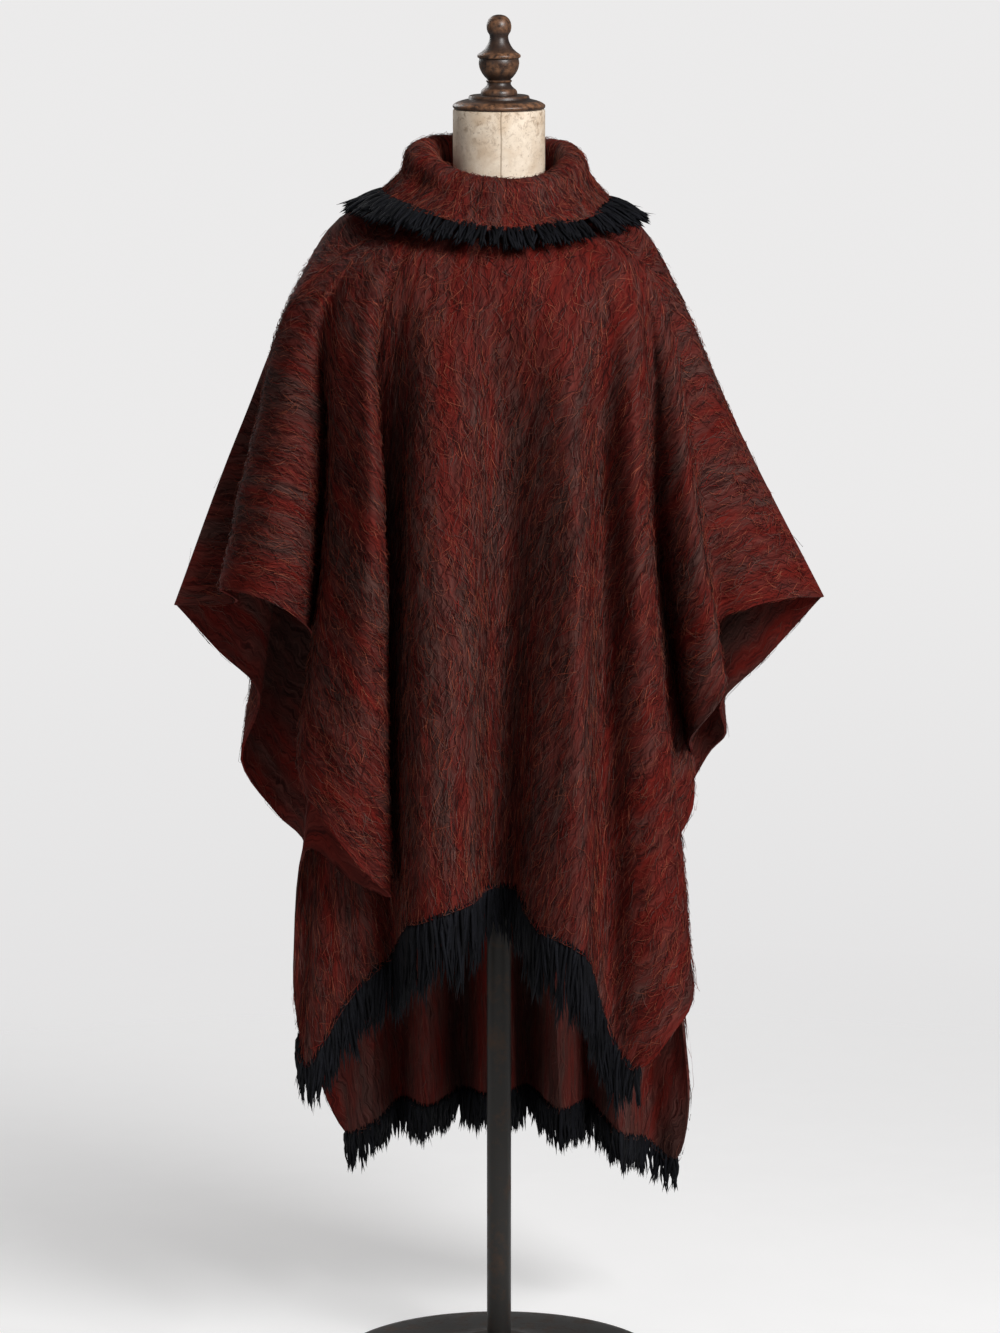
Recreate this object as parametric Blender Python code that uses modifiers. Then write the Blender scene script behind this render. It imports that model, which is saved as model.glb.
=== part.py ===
"""Andean poncho of brushed mohair, worn by a limbless dress form on a turned stand.

The cloth is two draped panels that meet on the shoulder fold, a rolled collar and three
fringes.  Each panel is a fan of fold lines: a line starts at the neck, leaves the body at
the yoke, passes a middle point and ends on the rim, and the tables below hold one row per
line in millimetres.  Front is -Y, up is +Z, and the origin is the centre of the stand's
underside.
"""
import math
import bpy
from mathutils import Vector

MM = 0.001
COLLECTION_NAME = "andean_poncho"

# ---- driving dimensions, mm ----
SEAM_GAP = 0.3
CLOTH_THICK = 3.0
COLLAR_THICK = 4.0
FRINGE_THICK = 3.0
CROWN_WIDTH = 5.0

NECK_OPENING_RADIUS = 95.0
NECK_SIDE_HEIGHT = 1447.0
NECK_FRONT_DROP = 17.0
YOKE_HEIGHT = 1343.0
YOKE_SQUARENESS = 2.4
YOKE_LEFT_WIDTH = 262.0
YOKE_RIGHT_WIDTH = 222.0
YOKE_FRONT_DEPTH = 170.0
YOKE_BACK_DEPTH = 128.0
LEFT_SHOULDER = (-205.0, 0.0, 1413.0)
RIGHT_SHOULDER = (180.0, 0.0, 1405.0)

COLUMNS_PER_FOLD = 2
ROWS_PER_SPAN = (2, 4, 5)
HEM_GAP = 3.0
COLLAR_STEPS = 40
COLLAR_ROWS = 10
COLLAR_FRINGE_GAP = 3.0
NOTCH_ANGLE = 318.0
NOTCH_WIDTH = 8.0

STAND_RADIUS = 200.0
STAND_HEIGHT = 30.0
POLE_RADIUS = 15.0
TORSO_BOTTOM = 795.0
TORSO_TOP = 1430.0
NECK_BLOCK_RADIUS = 55.5
NECK_BLOCK_TOP = 1559.0
CAP_TOP = 1576.0
FINIAL_TOP = 1672.0
TURNING_STEPS = 32

# ---- front folds, from the left shoulder fold round to the right one ----
# fold, yoke x, then x, y, z in the middle and on the rim
FRONT_FOLDS = (
    ("shoulder fold left", None, -313, 5, 1172, -395, 10, 955),
    ("sleeve valley", -245, -285, -10, 1160, -320, -5, 960),
    ("flap edge", -235, -295, -70, 1165, -335, -95, 990),
    ("flap crest", -225, -260, -120, 1165, -290, -150, 990),
    ("flap side", -210, -225, -110, 1160, -245, -140, 965),
    ("flap valley", -200, -205, -62, 1145, -222, -45, 905),
    ("flute edge", -182, -200, -118, 1075, -240, -140, 780),
    ("flute crest", -168, -172, -160, 1075, -208, -186, 725),
    ("flute side", -152, -148, -182, 1070, -170, -196, 675),
    ("flute turn", -143, -137, -150, 1070, -130, -155, 625),
    ("pleat inside", -139, -152, -115, 1065, -180, -120, 640),
    ("pleat back", -134, -180, -95, 1060, -235, -100, 670),
    ("corner edge", -130, -185, -75, 1045, -250, -85, 525),
    ("corner tuck", -126, -180, -77, 1045, -243, -90, 443),
    ("corner fold", -120, -173, -82, 1045, -230, -114, 410),
    ("corner hem", -115, -160, -85, 1050, -190, -120, 480),
    ("corner hem inner", -110, -150, -90, 1050, -155, -120, 525),
    ("dark valley", -105, -140, -95, 1050, -125, -100, 550),
    ("left fold edge", -100, -117, -126, 1070, -110, -175, 595),
    ("left fold crest", -80, -100, -186, 1075, -92, -222, 610),
    ("left fold centre", -58, -66, -205, 1075, -58, -228, 625),
    ("left fold side", -35, -34, -186, 1075, -30, -200, 632),
    ("recess left", -20, -14, -154, 1070, -18, -140, 635),
    ("recess", 0, 4, -140, 1070, 5, -110, 630),
    ("recess right", 20, 24, -146, 1070, 25, -130, 630),
    ("right fold edge", 42, 50, -174, 1075, 45, -198, 600),
    ("right fold crest", 66, 86, -209, 1075, 84, -232, 585),
    ("right fold side", 86, 101, -196, 1075, 104, -224, 565),
    ("right valley", 110, 118, -146, 1075, 116, -176, 515),
    ("right corner hem", 126, 136, -150, 1075, 138, -160, 450),
    ("right corner", 142, 155, -178, 1075, 170, -178, 420),
    ("right corner edge", 155, 168, -182, 1075, 206, -184, 460),
    ("right edge fold", 163, 180, -148, 1055, 235, -150, 515),
    ("behind the edge fold", 167, 168, -105, 1050, 205, -85, 640),
    ("small flute", 171, 178, -80, 1050, 235, -60, 715),
    ("right dark valley", 175, 192, -65, 1045, 235, -35, 775),
    ("right flute rim", 180, 209, -100, 1050, 233, -120, 815),
    ("right flute edge", 188, 235, -120, 1065, 270, -140, 875),
    ("right sleeve valley", 195, 245, -80, 1070, 260, -70, 940),
    ("right sleeve", 201, 270, -70, 1130, 305, -70, 965),
    ("right sleeve outer", 209, 290, -40, 1145, 355, -35, 970),
    ("shoulder fold right", None, 295, 5, 1160, 395, 10, 965),
)
# how deep each fold is already pressed in at the yoke; a negative one stands proud
YOKE_DENTS = {
    "flap valley": 10, "flute edge": 2, "flute side": -3, "flute turn": 3,
    "pleat inside": 7, "pleat back": 8, "corner edge": 9, "corner tuck": 9,
    "corner fold": 8, "corner hem": 8, "corner hem inner": 7, "dark valley": 6,
    "left fold edge": 3, "recess left": 2, "recess": 4, "recess right": 2,
    "right fold crest": -1, "right valley": 6, "right corner hem": 8,
    "right corner": 2, "right corner edge": -3, "behind the edge fold": 3,
    "small flute": 5, "right dark valley": 5, "right flute rim": 2,
}

FRONT_CORNERS = ("corner tuck", "right corner")
# how far the fringe hangs below the hem at each fold between the corners
FRONT_FRINGE_DROPS = (78, 72, 80, 85, 95, 118, 122, 118, 105, 85, 82, 90, 112, 116, 110, 105, 90, 62)

# ---- back folds, from the left shoulder fold round to the right one ----
BACK_FOLDS = (
    ("shoulder fold left", None, -313, 5, 1172, -395, 10, 955),
    ("sleeve back", -240, -295, 45, 1140, -345, 55, 890),
    ("inner turn", -235, -260, 65, 1115, -295, 80, 830),
    ("back flute edge", -225, -280, 115, 1045, -320, 130, 740),
    ("back flute crest", -210, -250, 165, 1010, -280, 170, 665),
    ("back flute side", -190, -215, 160, 990, -240, 150, 625),
    ("back left valley", -180, -195, 115, 970, -220, 95, 530),
    ("corner fold left", -165, -190, 160, 935, -235, 150, 425),
    ("left selvage low", -150, -175, 190, 935, -230, 175, 330),
    ("back corner left", -135, -155, 185, 935, -195, 170, 255),
    ("back valley 1", -118, -138, 155, 935, -162, 124, 275),
    ("back crest 1", -100, -112, 192, 935, -124, 200, 290),
    ("back valley 2", -75, -80, 150, 935, -88, 94, 305),
    ("back crest 2", -50, -48, 198, 930, -48, 212, 300),
    ("back valley 3", -22, -14, 150, 935, -6, 92, 318),
    ("back crest 3", 5, 20, 200, 930, 36, 215, 302),
    ("back valley 4", 30, 52, 150, 935, 76, 94, 300),
    ("back crest 4", 52, 82, 198, 935, 114, 208, 285),
    ("back valley 5", 78, 108, 150, 935, 150, 100, 270),
    ("back crest 5", 98, 135, 190, 935, 188, 188, 240),
    ("back corner right", 115, 155, 190, 935, 225, 165, 220),
    ("back right selvage", 130, 170, 180, 935, 240, 150, 300),
    ("back right selvage up", 145, 185, 150, 940, 230, 125, 420),
    ("back right valley", 160, 190, 112, 960, 208, 92, 570),
    ("back right crest", 175, 212, 150, 950, 228, 130, 675),
    ("back right side", 185, 235, 150, 990, 258, 128, 745),
    ("back right edge", 190, 255, 110, 1020, 280, 95, 780),
    ("inner turn right", 200, 255, 70, 1075, 275, 70, 825),
    ("sleeve back right", 205, 280, 40, 1115, 325, 45, 880),
    ("shoulder fold right", None, 295, 5, 1160, 395, 10, 965),
)
BACK_CORNERS = ("back corner left", "back corner right")
BACK_FRINGE_DROP = 56.0

# ---- collar, one row every 45 degrees from the right shoulder over the back ----
# radius and height of the foot, the roll's crest, its outer side, the fringed edge
# and the fringe's tips
COLLAR_SECTIONS = (
    (86, 1441, 82, 1511, 108, 1480, 134, 1447, 185, 1424),
    (86, 1442, 85, 1516, 110, 1482, 130, 1444, 172, 1416),
    (86, 1444, 88, 1519, 112, 1485, 126, 1446, 162, 1412),
    (86, 1442, 88, 1521, 112, 1487, 132, 1452, 180, 1424),
    (86, 1440, 90, 1518, 113, 1484, 140, 1457, 192, 1436),
    (86, 1434, 90, 1495, 114, 1468, 140, 1445, 178, 1420),
    (86, 1428, 88, 1481, 112, 1454, 136, 1424, 170, 1404),
    (86, 1434, 84, 1487, 110, 1459, 135, 1433, 172, 1410),
)
INNER_WALL_RADIUS = 74.0

# ---- dress form: height, half width, half depth, up the body ----
TORSO_SECTIONS = (
    (795, 118, 82),
    (800, 145, 98),
    (820, 162, 110),
    (870, 165, 110),
    (960, 138, 96),
    (1050, 128, 92),
    (1150, 148, 106),
    (1250, 164, 112),
    (1320, 168, 100),
    (1365, 162, 88),
    (1392, 148, 78),
    (1408, 122, 70),
    (1420, 86, 63),
    (1430, 61, 57),
)
TORSO_STEPS = 32
TORSO_SQUARENESS = 2.3


def make_material(name, colour, roughness, metallic=0.0):
    material = bpy.data.materials.new(name)
    material.use_nodes = True
    shader = material.node_tree.nodes["Principled BSDF"]
    shader.inputs["Base Color"].default_value = (*colour, 1.0)
    shader.inputs["Roughness"].default_value = roughness
    shader.inputs["Metallic"].default_value = metallic
    return material


def add_mesh_object(name, points, faces, material, collection):
    mesh = bpy.data.meshes.new(name)
    mesh.from_pydata([Vector(point) * MM for point in points], [], faces)
    mesh.materials.append(material)
    mesh.shade_smooth()
    piece = bpy.data.objects.new(name, mesh)
    collection.objects.link(piece)
    return piece


def solidify(piece, thickness):
    shell = piece.modifiers.new("wall", "SOLIDIFY")
    shell.thickness = thickness * MM
    shell.offset = 0.0
    shell.use_even_offset = False


def through(points, position):
    """Point at `position` (0 to len-1) on a smooth curve through all the points."""
    last = len(points) - 1
    index = min(int(position), last - 1)
    part = position - index
    before = points[index - 1] if index > 0 else points[0] * 2 - points[1]
    after = points[index + 2] if index + 2 <= last else points[last] * 2 - points[last - 1]
    start = points[index]
    end = points[index + 1]
    return 0.5 * (
        2 * start
        + (end - before) * part
        + (2 * before - 5 * start + 4 * end - after) * part ** 2
        + (3 * start - before - 3 * end + after) * part ** 3
    )


def steps_over(spans):
    """Positions along a curve whose spans have the given numbers of steps."""
    positions = []
    for index, count in enumerate(spans):
        positions += [index + step / count for step in range(count)]
    return positions + [float(len(spans))]


def neck_point(direction):
    """Point of the neck opening in the direction of the yoke point."""
    flat = Vector((direction.x, direction.y, 0.0)).normalized()
    front = max(0.0, -flat.y)
    return Vector((
        flat.x * NECK_OPENING_RADIUS,
        flat.y * NECK_OPENING_RADIUS,
        NECK_SIDE_HEIGHT - NECK_FRONT_DROP * front,
    ))


def yoke_point(fold, x, depth):
    width = YOKE_LEFT_WIDTH if x < 0 else YOKE_RIGHT_WIDTH
    share = 1.0 - (abs(x) / width) ** YOKE_SQUARENESS
    out = abs(depth) * share ** (1.0 / YOKE_SQUARENESS) - YOKE_DENTS.get(fold, 0)
    return Vector((x, math.copysign(out, depth), YOKE_HEIGHT))


def fold_line(row, depth):
    """Neck, yoke, middle and rim of one fold, from its table row."""
    fold, yoke_x, mid_x, mid_y, mid_z, rim_x, rim_y, rim_z = row
    if yoke_x is None:
        yoke = Vector(LEFT_SHOULDER if mid_x < 0 else RIGHT_SHOULDER)
    else:
        yoke = yoke_point(fold, yoke_x, depth)
    return [
        neck_point(yoke),
        yoke,
        Vector((mid_x, mid_y, mid_z)),
        Vector((rim_x, rim_y, rim_z)),
    ]


def panel_rows(table, depth):
    """Rows of points from the neck to the rim, each running from shoulder to shoulder."""
    side = -1.0 if depth < 0 else 1.0
    lines = [fold_line(row, depth) for row in table]
    seam = Vector((0.0, side * SEAM_GAP / 2, 0.0))
    crown = Vector((0.0, side * (SEAM_GAP / 2 + CROWN_WIDTH), 0.0))
    rows = []
    for position in steps_over(ROWS_PER_SPAN):
        knots = [through(line, position) for line in lines]
        ends = (knots[0].copy(), knots[-1].copy())
        knots[0] = ends[0] + crown
        knots[-1] = ends[1] + crown
        across = steps_over((COLUMNS_PER_FOLD,) * (len(lines) - 1))
        row = [ends[0] + seam]
        row += [through(knots, place) for place in across]
        row.append(ends[1] + seam)
        rows.append(row)
    return rows


def grid_faces(row_count, column_count, flip):
    faces = []
    for row in range(row_count - 1):
        for column in range(column_count - 1):
            corner = row * column_count + column
            face = (corner, corner + column_count, corner + column_count + 1, corner + 1)
            faces.append(face[::-1] if flip else face)
    return faces


def add_sheet(name, rows, thickness, flip, material, collection):
    points = [point for row in rows for point in row]
    faces = grid_faces(len(rows), len(rows[0]), flip)
    sheet = add_mesh_object(name, points, faces, material, collection)
    solidify(sheet, thickness)
    return sheet


def hem_rows(rows, table, corners, drops):
    """Top and foot of the fringe that hangs from a panel's hem, corner to corner."""
    names = [row[0] for row in table]
    first, last = (names.index(corner) for corner in corners)
    start = 1 + first * COLUMNS_PER_FOLD
    stop = 1 + last * COLUMNS_PER_FOLD
    hem = rows[-1][start:stop + 1]
    top = []
    middle = []
    foot = []
    for number, point in enumerate(hem):
        place = number / COLUMNS_PER_FOLD
        index = min(int(place), len(drops) - 2)
        part = place - index
        drop = drops[index] * (1 - part) + drops[index + 1] * part
        top.append(point - Vector((0, 0, HEM_GAP)))
        middle.append(point - Vector((0, 0, drop / 2)))
        foot.append(point - Vector((0, 0, drop)))
    return [top, middle, foot]


def collar_section(angle):
    """The collar's named radii and heights at an angle in degrees."""
    count = len(COLLAR_SECTIONS)
    position = (angle % 360.0) / 360.0 * count
    index = int(position)
    rows = [Vector(COLLAR_SECTIONS[(index + step) % count]) for step in (-1, 0, 1, 2)]
    return through(rows, 1.0 + position - index)


def ring_point(angle, radius, height):
    turn = math.radians(angle)
    return Vector((radius * math.cos(turn), radius * math.sin(turn), height))


def collar_profile(angle):
    foot_r, foot_z, crest_r, crest_z, side_r, side_z, edge_r, edge_z = collar_section(angle)[:8]
    lip = crest_z - 14.0
    path = [
        ring_point(angle, foot_r, foot_z),
        ring_point(angle, INNER_WALL_RADIUS, (foot_z + lip) / 2),
        ring_point(angle, INNER_WALL_RADIUS + 1.0, lip),
        ring_point(angle, crest_r, crest_z),
        ring_point(angle, crest_r + 0.7 * (side_r - crest_r), crest_z - 8.0),
        ring_point(angle, side_r, side_z),
        ring_point(angle, edge_r, edge_z),
    ]
    last = len(path) - 1
    return [through(path, last * step / COLLAR_ROWS) for step in range(COLLAR_ROWS + 1)]


def add_collar(material, collection):
    rings = [collar_profile(360.0 * step / COLLAR_STEPS) for step in range(COLLAR_STEPS)]
    points = [point for ring in rings for point in ring]
    width = COLLAR_ROWS + 1
    faces = []
    for step in range(COLLAR_STEPS):
        here = step * width
        there = (step + 1) % COLLAR_STEPS * width
        for row in range(COLLAR_ROWS):
            faces.append((here + row, here + row + 1, there + row + 1, there + row))
    collar = add_mesh_object("collar", points, faces, material, collection)
    solidify(collar, COLLAR_THICK)


def add_collar_fringe(material, collection):
    """The fringe's reach: a band from the collar's edge out over the shoulders, cut at the notch."""
    half_notch = math.degrees(NOTCH_WIDTH / 2 / COLLAR_SECTIONS[7][6])
    start = NOTCH_ANGLE + half_notch
    sweep = 360.0 - 2 * half_notch
    rows = [[], [], []]
    for step in range(COLLAR_STEPS + 1):
        angle = start + sweep * step / COLLAR_STEPS
        edge_r, edge_z, tip_r, tip_z = collar_section(angle)[6:10]
        edge = ring_point(angle, edge_r, edge_z)
        tip = ring_point(angle, tip_r, tip_z)
        top = edge + (tip - edge).normalized() * COLLAR_FRINGE_GAP
        middle = (top + tip) / 2 + Vector((0, 0, 3.0))
        for row, point in zip(rows, (top, middle, tip)):
            row.append(point)
    add_sheet("collar_fringe", rows, FRINGE_THICK, False, material, collection)


def add_torso(material, collection):
    """A smooth closed body, a loft through squared ovals."""
    points = []
    for height, half_width, half_depth in TORSO_SECTIONS:
        for step in range(TORSO_STEPS):
            turn = 2 * math.pi * step / TORSO_STEPS
            power = 2.0 / TORSO_SQUARENESS
            cosine = math.cos(turn)
            sine = math.sin(turn)
            points.append((
                half_width * math.copysign(abs(cosine) ** power, cosine),
                half_depth * math.copysign(abs(sine) ** power, sine),
                height,
            ))
    faces = []
    for level in range(len(TORSO_SECTIONS) - 1):
        for step in range(TORSO_STEPS):
            here = level * TORSO_STEPS + step
            there = level * TORSO_STEPS + (step + 1) % TORSO_STEPS
            faces.append((here, there, there + TORSO_STEPS, here + TORSO_STEPS))
    top_start = (len(TORSO_SECTIONS) - 1) * TORSO_STEPS
    faces.append(tuple(range(TORSO_STEPS))[::-1])
    faces.append(tuple(range(top_start, top_start + TORSO_STEPS)))
    add_mesh_object("torso", points, faces, material, collection)


def add_turned(name, profile, material, collection):
    """A turned piece: its outer side from top to bottom, closed on the axis."""
    count = len(profile)
    edges = [(index, index + 1) for index in range(count - 1)]
    mesh = bpy.data.meshes.new(name)
    mesh.from_pydata([(radius * MM, 0.0, height * MM) for radius, height in profile], edges, [])
    mesh.materials.append(material)
    piece = bpy.data.objects.new(name, mesh)
    collection.objects.link(piece)
    screw = piece.modifiers.new("turn", "SCREW")
    screw.steps = TURNING_STEPS
    screw.render_steps = TURNING_STEPS
    screw.use_merge_vertices = True
    screw.merge_threshold = 0.00001
    screw.use_smooth_shade = True


def add_form(form_cover, wood, stand_metal, collection):
    add_torso(form_cover, collection)
    block_bottom = TORSO_TOP + SEAM_GAP
    add_turned("neck_block", (
        (0, NECK_BLOCK_TOP),
        (NECK_BLOCK_RADIUS - 1.5, NECK_BLOCK_TOP),
        (NECK_BLOCK_RADIUS, NECK_BLOCK_TOP - 2),
        (NECK_BLOCK_RADIUS, 1500),
        (NECK_BLOCK_RADIUS, block_bottom),
        (0, block_bottom),
    ), form_cover, collection)
    cap_bottom = NECK_BLOCK_TOP + SEAM_GAP
    add_turned("neck_cap", (
        (0, CAP_TOP),
        (33.5, CAP_TOP),
        (36.5, CAP_TOP - 2),
        (37, CAP_TOP - 4.5),
        (45, CAP_TOP - 6.5),
        (52.5, CAP_TOP - 9.5),
        (55.8, CAP_TOP - 12),
        (55.8, CAP_TOP - 14.5),
        (53.5, cap_bottom),
        (0, cap_bottom),
    ), wood, collection)
    foot = CAP_TOP + SEAM_GAP
    add_turned("finial", (
        (0, FINIAL_TOP),
        (7, FINIAL_TOP - 1),
        (12, FINIAL_TOP - 5),
        (14.8, FINIAL_TOP - 13),
        (14.2, FINIAL_TOP - 19),
        (11.6, FINIAL_TOP - 23.5),
        (11.3, FINIAL_TOP - 28),
        (14.5, FINIAL_TOP - 37),
        (20.5, FINIAL_TOP - 44),
        (26, FINIAL_TOP - 48),
        (26, FINIAL_TOP - 51),
        (23.6, FINIAL_TOP - 52.5),
        (24.2, FINIAL_TOP - 58),
        (22.5, FINIAL_TOP - 66),
        (17.5, FINIAL_TOP - 74),
        (14, FINIAL_TOP - 77),
        (15.6, FINIAL_TOP - 79),
        (14, FINIAL_TOP - 81.5),
        (15.5, FINIAL_TOP - 85),
        (20, FINIAL_TOP - 89),
        (22, FINIAL_TOP - 93),
        (22, foot),
        (0, foot),
    ), wood, collection)
    pole_top = TORSO_BOTTOM - SEAM_GAP
    pole_bottom = STAND_HEIGHT + SEAM_GAP
    add_turned("pole", (
        (0, pole_top),
        (POLE_RADIUS, pole_top),
        (POLE_RADIUS, pole_bottom),
        (0, pole_bottom),
    ), stand_metal, collection)
    add_turned("stand_base", (
        (0, STAND_HEIGHT),
        (45, STAND_HEIGHT),
        (60, STAND_HEIGHT - 6),
        (120, STAND_HEIGHT - 10),
        (180, STAND_HEIGHT - 15),
        (STAND_RADIUS - 5, STAND_HEIGHT - 19),
        (STAND_RADIUS, STAND_HEIGHT - 24),
        (STAND_RADIUS, 0),
        (0, 0),
    ), stand_metal, collection)


def add_poncho(cloth, fringe_yarn, collection):
    front = panel_rows(FRONT_FOLDS, -YOKE_FRONT_DEPTH)
    back = panel_rows(BACK_FOLDS, YOKE_BACK_DEPTH)
    add_sheet("front_panel", front, CLOTH_THICK, False, cloth, collection)
    add_sheet("back_panel", back, CLOTH_THICK, True, cloth, collection)
    add_collar(cloth, collection)
    add_collar_fringe(fringe_yarn, collection)
    front_fringe = hem_rows(front, FRONT_FOLDS, FRONT_CORNERS, FRONT_FRINGE_DROPS)
    add_sheet("front_fringe", front_fringe, FRINGE_THICK, False, fringe_yarn, collection)
    names = [row[0] for row in BACK_FOLDS]
    hem_count = names.index(BACK_CORNERS[1]) - names.index(BACK_CORNERS[0]) + 1
    back_fringe = hem_rows(back, BACK_FOLDS, BACK_CORNERS, (BACK_FRINGE_DROP,) * hem_count)
    add_sheet("back_fringe", back_fringe, FRINGE_THICK, True, fringe_yarn, collection)


def main():
    for old in list(bpy.data.objects):
        bpy.data.objects.remove(old)
    collection = bpy.data.collections.new(COLLECTION_NAME)
    bpy.context.scene.collection.children.link(collection)
    cloth = make_material("brushed_mohair", (0.16, 0.035, 0.022), 0.9)
    fringe_yarn = make_material("fringe_yarn", (0.012, 0.013, 0.018), 0.85)
    form_cover = make_material("form_cover", (0.72, 0.62, 0.46), 0.7)
    wood = make_material("turned_wood", (0.07, 0.035, 0.02), 0.45)
    stand_metal = make_material("stand_iron", (0.05, 0.045, 0.04), 0.5, 0.6)
    add_poncho(cloth, fringe_yarn, collection)
    add_form(form_cover, wood, stand_metal, collection)


main()
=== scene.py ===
"""Andean poncho of brushed mohair on a limbless dress form.

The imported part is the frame.  This script lays the finished cloth over it: two draped
panels with their nap and hem fringes, the rolled collar with its fringe, and the turned
and padded pieces of the form.  Front is -Y and up is +Z; tables are in millimetres and
everything else is in metres.
"""
import math

import bmesh
import bpy
import numpy as np
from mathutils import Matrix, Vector


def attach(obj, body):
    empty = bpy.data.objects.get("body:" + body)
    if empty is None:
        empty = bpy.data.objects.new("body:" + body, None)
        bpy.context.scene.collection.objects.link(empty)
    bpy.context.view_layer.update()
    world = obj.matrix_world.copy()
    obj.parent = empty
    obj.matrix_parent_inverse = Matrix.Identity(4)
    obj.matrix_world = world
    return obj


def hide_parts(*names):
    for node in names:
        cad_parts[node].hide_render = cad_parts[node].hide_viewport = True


bl_info = {
    "name": "Andean Poncho on a Dress Form",
    "version": (1, 0, 0),
    "blender": (4, 5, 0),
    "location": "3D View > Sidebar > Poncho",
    "description": "Builds a brushed mohair poncho, its dress form and a plain studio round the packed part",
    "category": "Object",
}

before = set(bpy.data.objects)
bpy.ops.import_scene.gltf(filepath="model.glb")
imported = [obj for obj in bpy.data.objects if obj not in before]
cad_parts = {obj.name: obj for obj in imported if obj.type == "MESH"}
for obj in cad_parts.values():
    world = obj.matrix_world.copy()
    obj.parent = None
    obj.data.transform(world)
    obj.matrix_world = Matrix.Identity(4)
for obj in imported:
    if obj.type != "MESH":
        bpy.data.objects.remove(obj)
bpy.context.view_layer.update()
MM = 0.001

# ---- front folds, from the left shoulder fold round to the right one ----
# fold, yoke x, then x, y, z in the middle and on the rim
FRONT_FOLDS = (
    ("shoulder fold left", None, -313, 5, 1172, -395, 10, 955),
    ("sleeve valley", -245, -285, -10, 1160, -320, -5, 960),
    ("flap edge", -235, -295, -70, 1165, -335, -95, 990),
    ("flap crest", -225, -260, -120, 1165, -290, -150, 990),
    ("flap side", -210, -225, -110, 1160, -245, -140, 965),
    ("flap valley", -200, -205, -62, 1145, -222, -45, 905),
    ("flute edge", -182, -200, -118, 1075, -240, -140, 780),
    ("flute crest", -168, -172, -160, 1075, -208, -186, 725),
    ("flute side", -152, -148, -182, 1070, -170, -196, 675),
    ("flute turn", -143, -137, -150, 1070, -130, -155, 625),
    ("pleat inside", -139, -152, -115, 1065, -180, -120, 640),
    ("pleat back", -134, -180, -95, 1060, -235, -100, 670),
    ("corner edge", -130, -185, -75, 1045, -250, -85, 525),
    ("corner tuck", -126, -180, -77, 1045, -243, -90, 443),
    ("corner fold", -120, -173, -82, 1045, -230, -114, 410),
    ("corner hem", -115, -160, -85, 1050, -190, -120, 480),
    ("corner hem inner", -110, -150, -90, 1050, -155, -120, 525),
    ("dark valley", -105, -140, -95, 1050, -125, -100, 550),
    ("left fold edge", -100, -117, -126, 1070, -110, -175, 595),
    ("left fold crest", -80, -100, -186, 1075, -92, -222, 610),
    ("left fold centre", -58, -66, -205, 1075, -58, -228, 625),
    ("left fold side", -35, -34, -186, 1075, -30, -200, 632),
    ("recess left", -20, -14, -154, 1070, -18, -140, 635),
    ("recess", 0, 4, -140, 1070, 5, -110, 630),
    ("recess right", 20, 24, -146, 1070, 25, -130, 630),
    ("right fold edge", 42, 50, -174, 1075, 45, -198, 600),
    ("right fold crest", 66, 86, -209, 1075, 84, -232, 585),
    ("right fold side", 86, 101, -196, 1075, 104, -224, 565),
    ("right valley", 110, 118, -146, 1075, 116, -176, 515),
    ("right corner hem", 126, 136, -150, 1075, 138, -160, 450),
    ("right corner", 142, 155, -178, 1075, 170, -178, 420),
    ("right corner edge", 155, 168, -182, 1075, 206, -184, 460),
    ("right edge fold", 163, 180, -148, 1055, 235, -150, 515),
    ("behind the edge fold", 167, 168, -105, 1050, 205, -85, 640),
    ("small flute", 171, 178, -80, 1050, 235, -60, 715),
    ("right dark valley", 175, 192, -65, 1045, 235, -35, 775),
    ("right flute rim", 180, 209, -100, 1050, 233, -120, 815),
    ("right flute edge", 188, 235, -120, 1065, 270, -140, 875),
    ("right sleeve valley", 195, 245, -80, 1070, 260, -70, 940),
    ("right sleeve", 201, 270, -70, 1130, 305, -70, 965),
    ("right sleeve outer", 209, 290, -40, 1145, 355, -35, 970),
    ("shoulder fold right", None, 295, 5, 1160, 395, 10, 965),
)
# how deep each fold is already pressed in at the yoke; a negative one stands proud
YOKE_DENTS = {
    "flap valley": 10, "flute edge": 2, "flute side": -3, "flute turn": 3,
    "pleat inside": 7, "pleat back": 8, "corner edge": 9, "corner tuck": 9,
    "corner fold": 8, "corner hem": 8, "corner hem inner": 7, "dark valley": 6,
    "left fold edge": 3, "recess left": 2, "recess": 4, "recess right": 2,
    "right fold crest": -1, "right valley": 6, "right corner hem": 8,
    "right corner": 2, "right corner edge": -3, "behind the edge fold": 3,
    "small flute": 5, "right dark valley": 5, "right flute rim": 2,
}

FRONT_CORNERS = ("corner tuck", "right corner")
# how far the fringe hangs below the hem at each fold between the corners
FRONT_FRINGE_DROPS = (78, 72, 80, 85, 95, 118, 122, 118, 105, 85, 82, 90, 112, 116, 110, 105, 90, 62)

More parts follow.
